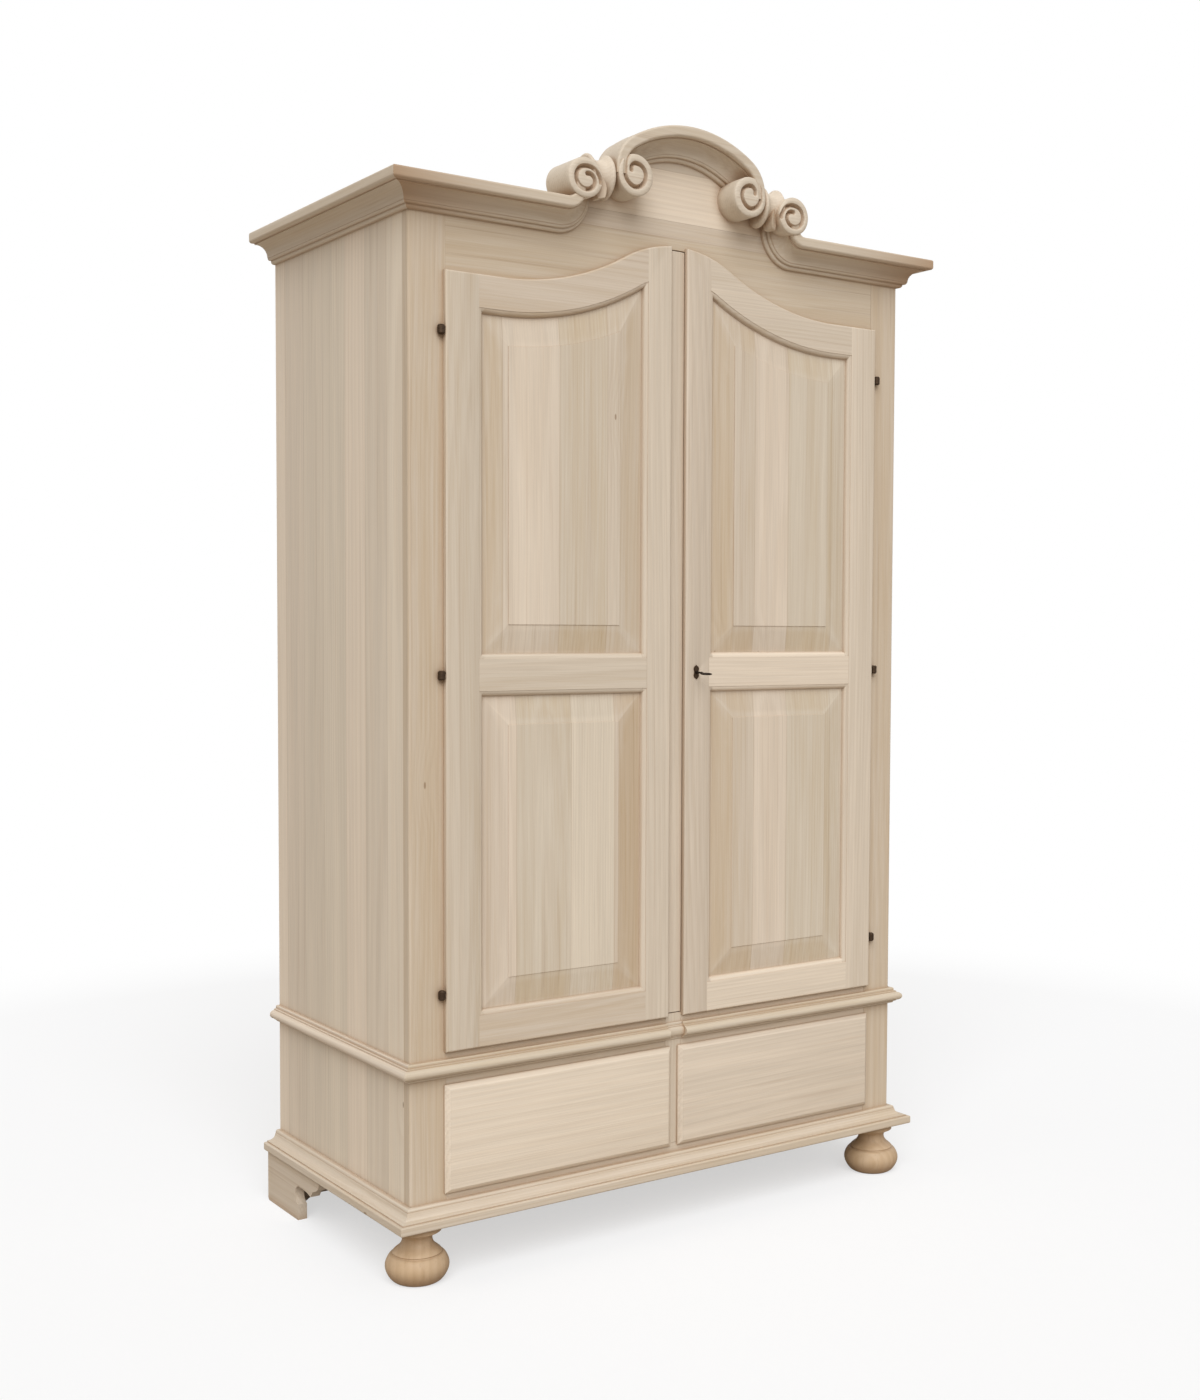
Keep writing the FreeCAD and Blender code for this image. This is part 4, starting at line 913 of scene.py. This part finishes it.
def fixingHeads(look):
    ins = [("Head Radius", "Float", 0.003), ("Head Rise", "Float", 0.001), ("Slot Width", "Float", 0.0008),
           ("Slotted", "Bool", True), ("Metal", "Material", None)]
    tree, given, out = newGrowth("fixingHeads", ins)
    tip = addNode(tree, "ShaderNodeCombineXYZ", {"Z": given["Head Rise"]})
    line = addNode(tree, "GeometryNodeCurvePrimitiveLine", {"End": tip})
    line = addNode(tree, "GeometryNodeResampleCurve", {"Curve": line, "Count": look["domeSteps"]})
    share = times(tree, addNode(tree, "GeometryNodeSplineParameter").outputs["Factor"], look["domeShare"])
    dome = calc(tree, "SQRT", calc(tree, "SUBTRACT", 1.0, calc(tree, "POWER", share, 2.0)))
    ring = addNode(tree, "GeometryNodeCurvePrimitiveCircle", {"Resolution": look["facets"],
                                                              "Radius": given["Head Radius"]})
    head = addNode(tree, "GeometryNodeCurveToMesh", {"Curve": line, "Profile Curve": ring, "Scale": dome,
                                                     "Fill Caps": True})
    width = times(tree, given["Head Radius"], look["slotReach"])
    bar = addNode(tree, "ShaderNodeCombineXYZ", {"X": width, "Y": given["Slot Width"], "Z": given["Head Rise"]})
    cutter = addNode(tree, "GeometryNodeMeshCube", {"Size": bar}).outputs["Mesh"]
    raised = addNode(tree, "GeometryNodeTransform", {"Geometry": cutter, "Translation": tip})
    slotted = addNode(tree, "GeometryNodeMeshBoolean", {0: head, 1: raised}, operation="DIFFERENCE", solver="EXACT")
    chosen = addNode(tree, "GeometryNodeSwitch", {"Switch": given["Slotted"], "False": head, "True": slotted},
                     input_type="GEOMETRY")
    facing = addNode(tree, "GeometryNodeInputNamedAttribute", {"Name": "facing"}, data_type="FLOAT_VECTOR")
    turned = addNode(tree, "FunctionNodeAlignRotationToVector", {"Vector": facing}, axis="Z")
    turn = addNode(tree, "FunctionNodeRandomValue", {2: 0.0, 3: look["turnReach"], "Seed": 5}, data_type="FLOAT")
    spin = addNode(tree, "FunctionNodeAxisAngleToRotation", {"Axis": (0, 0, 1), "Angle": turn.outputs[1]})
    spin = addNode(tree, "FunctionNodeRotateRotation", {0: turned, 1: spin}, rotation_space="LOCAL")
    spread = addNode(tree, "GeometryNodeInstanceOnPoints", {"Points": given["Geometry"], "Instance": chosen,
                                                            "Rotation": spin})
    return endGrowth(tree, spread, given["Metal"], out)


fixingTree = fixingHeads(fixingWork)


def makeFixings(name, kind, places, body):
    mesh = bpy.data.meshes.new(name)
    mesh.from_pydata(places, [], [])
    direction = mesh.attributes.new("facing", "FLOAT_VECTOR", "POINT")
    for spot in direction.data:
        spot.vector = (0, 1, 0)
    bm = grown(fixingTree, newObject(name, mesh), {**fixingWork[kind], "Metal": materials["dark_bronze"]})
    finishPiece(joined([bm], name), name, [], "dark_bronze", body, weighted=False)


def boxesOf(node):
    boxes = []
    for part in boardsOf(node):
        boxes.append(boxOf(part))
        part.free()
    return boxes


# four places in the corners of each plate's face
def placesOnPlates(node, y, inset):
    return [(x, y, z) for low, high in boxesOf(node) for x in (low.x + inset, high.x - inset)
            for z in (low.z + inset, high.z - inset)]


def makeAllFixings():
    case = placesOnPlates("lock_case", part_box("lock_case")[1].y, fixingWork["plateInset"])
    makeFixings("lockCaseScrews", "screw", case, "right_door")
    plates = placesOnPlates("slide_plates", fixingWork["slidePlateFace"], fixingWork["slideInset"])
    makeFixings("slidePlateScrews", "pin", plates, "left_door")
    inset = fixingWork["nailInset"]
    nails = []
    for low, high in boxesOf("back_boards"):
        for carrier in ("top_panel", "hat_shelf", "wardrobe_floor", "drawer_floor"):
            edgeLow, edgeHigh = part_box(carrier)
            nails += [(x, high.y, (edgeLow.z + edgeHigh.z) / 2) for x in (low.x + inset, high.x - inset)]
    makeFixings("backNails", "nail", nails, "case")


# the lock's key, its bow lying flat, and the lobed plate behind it
keyWork = {
    "place": (0.045, 1.140),
    "plateFace": -0.2881,
    "plateBack": -0.2865,
    "plateHalf": (0.0066, 0.0152),
    "plateEdge": [(0.0, 1.0), (0.22, 0.86), (0.62, 0.78), (0.92, 0.60), (1.0, 0.38), (0.84, 0.16), (0.74, 0.0),
                  (0.84, -0.16), (1.0, -0.38), (0.92, -0.60), (0.62, -0.78), (0.22, -0.86), (0.0, -1.0)],
    "shaft": [(-0.278, 0.002), (-0.288, 0.002), (-0.2895, 0.0032), (-0.2915, 0.0032), (-0.293, 0.0021),
              (-0.302, 0.002), (-0.3045, 0.0029), (-0.307, 0.0029), (-0.309, 0.0021), (-0.3125, 0.0018)],
    "bowCentre": -0.3215,
    "bowHalf": (0.0105, 0.0085),
    "bowThick": (0.0016, 0.0021),
    "droop": 5,
    "facets": 20,
    "bowSteps": 36,
    "bowFacets": 12,
    "plateArris": 0.0004,
}


def ringOf(bm, count, place):
    return [bm.verts.new(place(2 * pi * index / count)) for index in range(count)]


# a skin over rings of corners, closed on itself or with a flat face at each end
def bridged(bm, rows, closed=False):
    for first, second in zip(rows, rows[1:] + (rows[:1] if closed else [])):
        for index in range(len(first)):
            after = (index + 1) % len(first)
            bm.faces.new((first[index], first[after], second[after], second[index]))
    if not closed:
        bm.faces.new(rows[0])
        bm.faces.new(rows[-1])


def makeKey(look):
    bm = blankMesh()
    x0, z0 = look["place"]
    bridged(bm, [ringOf(bm, look["facets"], lambda a: (x0 + r * cos(a), y, z0 + r * sin(a)))
                 for y, r in look["shaft"]])
    wide, long = look["bowHalf"]
    thick, broad = look["bowThick"]
    hoops = []
    for step in range(look["bowSteps"]):
        turn = 2 * pi * step / look["bowSteps"]
        centre = Vector((x0 + wide * cos(turn), look["bowCentre"] + long * sin(turn), z0))
        out = Vector((cos(turn) / wide, sin(turn) / long, 0)).normalized()
        hoops.append(ringOf(bm, look["bowFacets"], lambda a: centre + out * broad * cos(a)
                            + Vector((0, 0, thick * sin(a)))))
    bridged(bm, hoops, closed=True)
    pivot = Matrix.Translation((x0, look["plateFace"], z0))
    bm.transform(pivot @ Matrix.Rotation(radians(look["droop"]), 4, "X") @ pivot.inverted())
    outward(bm)
    makePiece("key", [bm], weighted=False, name="doorKey")


# a flat outline given its thickness back to a wall, with softened arrises
def cutPlate(outline, back, arris):
    bm = blankMesh()
    pulled = bmesh.ops.extrude_face_region(bm, geom=[bm.faces.new([bm.verts.new(spot) for spot in outline])])
    for item in pulled["geom"]:
        if isinstance(item, bmesh.types.BMVert):
            item.co.y = back
    outward(bm)
    softenArrises(bm, arris)
    return bm


def makeKeyPlate(look):
    x0, z0 = look["place"]
    wide, tall = look["plateHalf"]
    half = look["plateEdge"]
    outline = [(x0 + x * wide, look["plateFace"], z0 + z * tall) for x, z in half + [(-x, z) for x, z in half[-2:0:-1]]]
    makePiece("key_plate", [cutPlate(outline, look["plateBack"], look["plateArris"])])


makeKey(keyWork)
makeKeyPlate(keyWork)
makeAllFixings()
print("key and fixings set")


# hollow collars between the scrolls, each with a pointed leaf beside the outer one
collarWork = {
    "axis": (-0.2945, 2.102),
    "profile": [(0.1835, 0.034), (0.1845, 0.0385), (0.187, 0.042), (0.19, 0.0432), (0.193, 0.042),
                (0.196, 0.0385), (0.199, 0.035), (0.203, 0.0322), (0.208, 0.0305), (0.214, 0.0302),
                (0.22, 0.0318), (0.225, 0.0345), (0.229, 0.038), (0.232, 0.0402), (0.235, 0.0405),
                (0.2375, 0.0385), (0.2385, 0.035)],
    "depthShare": 0.88,
    "turns": 96,
    "wall": -0.2745,
    "leaf": [(0.218, 2.109), (0.215, 2.101), (0.2105, 2.093), (0.206, 2.084), (0.204, 2.074),
             (0.205, 2.064), (0.2075, 2.056), (0.219, 2.054), (0.2235, 2.064), (0.2235, 2.078),
             (0.2215, 2.093), (0.2195, 2.103)],
    "leafFront": -0.3270,
    "leafLean": 0.55,
    "leafArris": 0.0015,
}


def makeCollar(look):
    bm = blankMesh()
    y0, z0 = look["axis"]
    bridged(bm, [ringOf(bm, look["turns"], lambda a: (-x, y0 - look["depthShare"] * r * cos(a), z0 + r * sin(a)))
                 for x, r in look["profile"]])
    cut = bmesh.ops.bisect_plane(bm, geom=bm.verts[:] + bm.edges[:] + bm.faces[:], dist=1e-6,
                                 plane_co=(0, look["wall"], 0), plane_no=(0, 1, 0), clear_outer=True)
    bmesh.ops.holes_fill(bm, edges=[edge for edge in cut["geom_cut"] if isinstance(edge, bmesh.types.BMEdge)])
    outward(bm)
    layWear(bm)
    layGrain(bm, {"along": 0})
    return bm


def makeLeaf(look):
    inner = min(x for x, z in look["leaf"])
    outline = [(-x, look["leafFront"] + look["leafLean"] * (x - inner), z) for x, z in look["leaf"]]
    bm = cutPlate(outline, look["axis"][0], look["leafArris"])
    layGrain(bm, {"along": 2})
    return bm


makePiece("crest_collars", pairOf(makeCollar(collarWork)) + pairOf(makeLeaf(collarWork)))
print("collars turned")


# turned feet: a round section carried up the axis, as wide at each height as the spline says there
def latheTurning():
    ins = [("Facets", "Int", 64), ("Girth", "Float", 1.0), ("Wood", "Material", None)]
    tree, given, out = newGrowth("latheTurning", ins)
    ring = addNode(tree, "GeometryNodeCurvePrimitiveCircle", {"Resolution": given["Facets"], "Radius": 1.0})
    girth = times(tree, addNode(tree, "GeometryNodeInputRadius").outputs[0], given["Girth"])
    turned = addNode(tree, "GeometryNodeCurveToMesh", {"Curve": given["Geometry"], "Profile Curve": ring,
                                                       "Scale": girth, "Fill Caps": True})
    return endGrowth(tree, turned, given["Wood"], out)


latheTree = latheTurning()
# the turning: heights and radii in millimetres
footWork = {
    "place": (0.5755, -0.2505),
    "facets": 72,
    "tone": -0.2,
    "turning": [(0, 42), (1.5, 45), (4, 48.4), (8, 52), (12, 54.8), (16, 57), (20, 58.8),
                (25, 60.2), (29, 60.6), (33, 60.4), (37, 59.4), (41, 57.8), (45, 55.8), (48, 53.8),
                (50.4, 51.6), (51.2, 49.4), (52, 46.4), (53, 45.8), (54, 46.4), (55, 46.8), (57, 45.2),
                (59, 43), (61, 40.6), (63, 38), (65, 35.6), (67, 33.6), (70, 31.4), (74, 29.4),
                (78, 28.6), (82, 28.6), (85, 30), (88, 33), (90, 36), (92, 39.5), (93.4, 42.5),
                (94.4, 44.8), (95.4, 46), (107, 46), (108, 45)],
}


def makeFeet(look):
    axis = drawnLine("footAxis", [(*look["place"], height / 1000) for height, radius in look["turning"]],
                     [radius / 1000 for height, radius in look["turning"]])
    bm = grown(latheTree, axis, {"Facets": look["facets"], "Girth": 1.0, "Wood": materials["turned_wood"]})
    outward(bm)
    layGrain(bm, {"along": 2, "tone": look["tone"]})
    makePiece("bun_feet", pairOf(bm))


makeFeet(footWork)
print("feet turned")


boards = [node for node in nodes if node not in handMade]
for node in boards:
    dressNode(node, boardWork.get(node, {}))
print("boards dressed:", len(boards))

photoView = {
    "place": (-2.0361, -3.1007, 1.2329),
    "yaw": 35.8,
    "pitch": 2.727,
    "roll": 0.297,
    "focalPixels": 1704.6,
    "centrePixels": (675.6, 707.9),
    "photoPixels": (1200, 1400),
}


def makeCamera(view):
    data = bpy.data.cameras.new("photoCamera")
    data.sensor_fit = "AUTO"
    data.sensor_width = 36
    wide, tall = view["photoPixels"]
    longSide = max(wide, tall)
    data.lens = view["focalPixels"] * data.sensor_width / longSide
    data.shift_x = (wide / 2 - view["centrePixels"][0]) / longSide
    data.shift_y = (view["centrePixels"][1] - tall / 2) / longSide
    data.clip_end = 60
    camera = newObject("photoCamera", data)
    turn = (
        Matrix.Rotation(radians(-view["yaw"]), 4, "Z")
        @ Matrix.Rotation(radians(90 - view["pitch"]), 4, "X")
        @ Matrix.Rotation(radians(view["roll"]), 4, "Z")
    )
    camera.matrix_world = Matrix.Translation(view["place"]) @ turn
    bpy.context.scene.camera = camera


makeCamera(photoView)
print("camera placed")

studio = {
    "floorSize": 40.0,
    "floorColour": (0.50, 0.445, 0.385),
    "shownColour": (0.93, 0.96, 1.0),
    "nearGlow": 0.58,
    "glowFade": (1.6, 3.2),
    "worldColour": (1.0, 0.92, 0.84),
    "worldStrength": 0.425,
    "sunFrom": (-0.37, -0.63, 0.68),
    "sunStrength": 2.45,
    "sunAngle": 50,
}


def makeFloorPaint(look):
    paint, tree, shader = newMaterial("floorPaint", {"Roughness": 1.0, "Specular IOR Level": 0.0})
    seen = addNode(tree, "ShaderNodeLightPath").outputs["Is Camera Ray"]
    feed(tree, shader.inputs["Base Color"], blendColour(tree, seen, look["floorColour"], look["shownColour"]))
    place = addNode(tree, "ShaderNodeTexCoord").outputs["Object"]
    reach = addNode(tree, "ShaderNodeVectorMath", {0: place}, operation="LENGTH").outputs["Value"]
    share = calc(tree, "MAXIMUM", remap(tree, reach, *look["glowFade"]), look["nearGlow"])
    glow = addNode(tree, "ShaderNodeEmission", {"Color": (1, 1, 1, 1), "Strength": 1.0})
    mixed = addNode(tree, "ShaderNodeMixShader", {0: times(tree, share, seen), 1: shader, 2: glow})
    feed(tree, tree.nodes["Material Output"].inputs["Surface"], mixed)
    return paint


def makeStudio(look):
    bpy.ops.mesh.primitive_plane_add(size=look["floorSize"])
    floor = bpy.context.active_object
    floor.name = "floor"
    floor.data.materials.append(makeFloorPaint(look))
    world = bpy.data.worlds.new("studioWorld")
    bpy.context.scene.world = world
    world.use_nodes = True
    tree = world.node_tree
    rays = addNode(tree, "ShaderNodeLightPath").outputs
    shown = calc(tree, "MAXIMUM", rays["Is Camera Ray"], calc(tree, "MAXIMUM", rays["Is Glossy Ray"],
                                                             rays["Is Transmission Ray"]))
    wired(tree, tree.nodes["Background"].inputs, {
        "Color": blendColour(tree, shown, look["worldColour"], (1, 1, 1)),
        "Strength": remap(tree, shown, 0.0, 1.0, look["worldStrength"], 1.0),
    })
    data = bpy.data.lights.new("windowSun", "SUN")
    data.energy = look["sunStrength"]
    data.angle = radians(look["sunAngle"])
    sun = newObject("windowSun", data)
    sun.rotation_euler = Vector(look["sunFrom"]).to_track_quat("Z", "Y").to_euler()
    bpy.context.scene.view_settings.view_transform = "Standard"


makeStudio(studio)
print("studio lit")
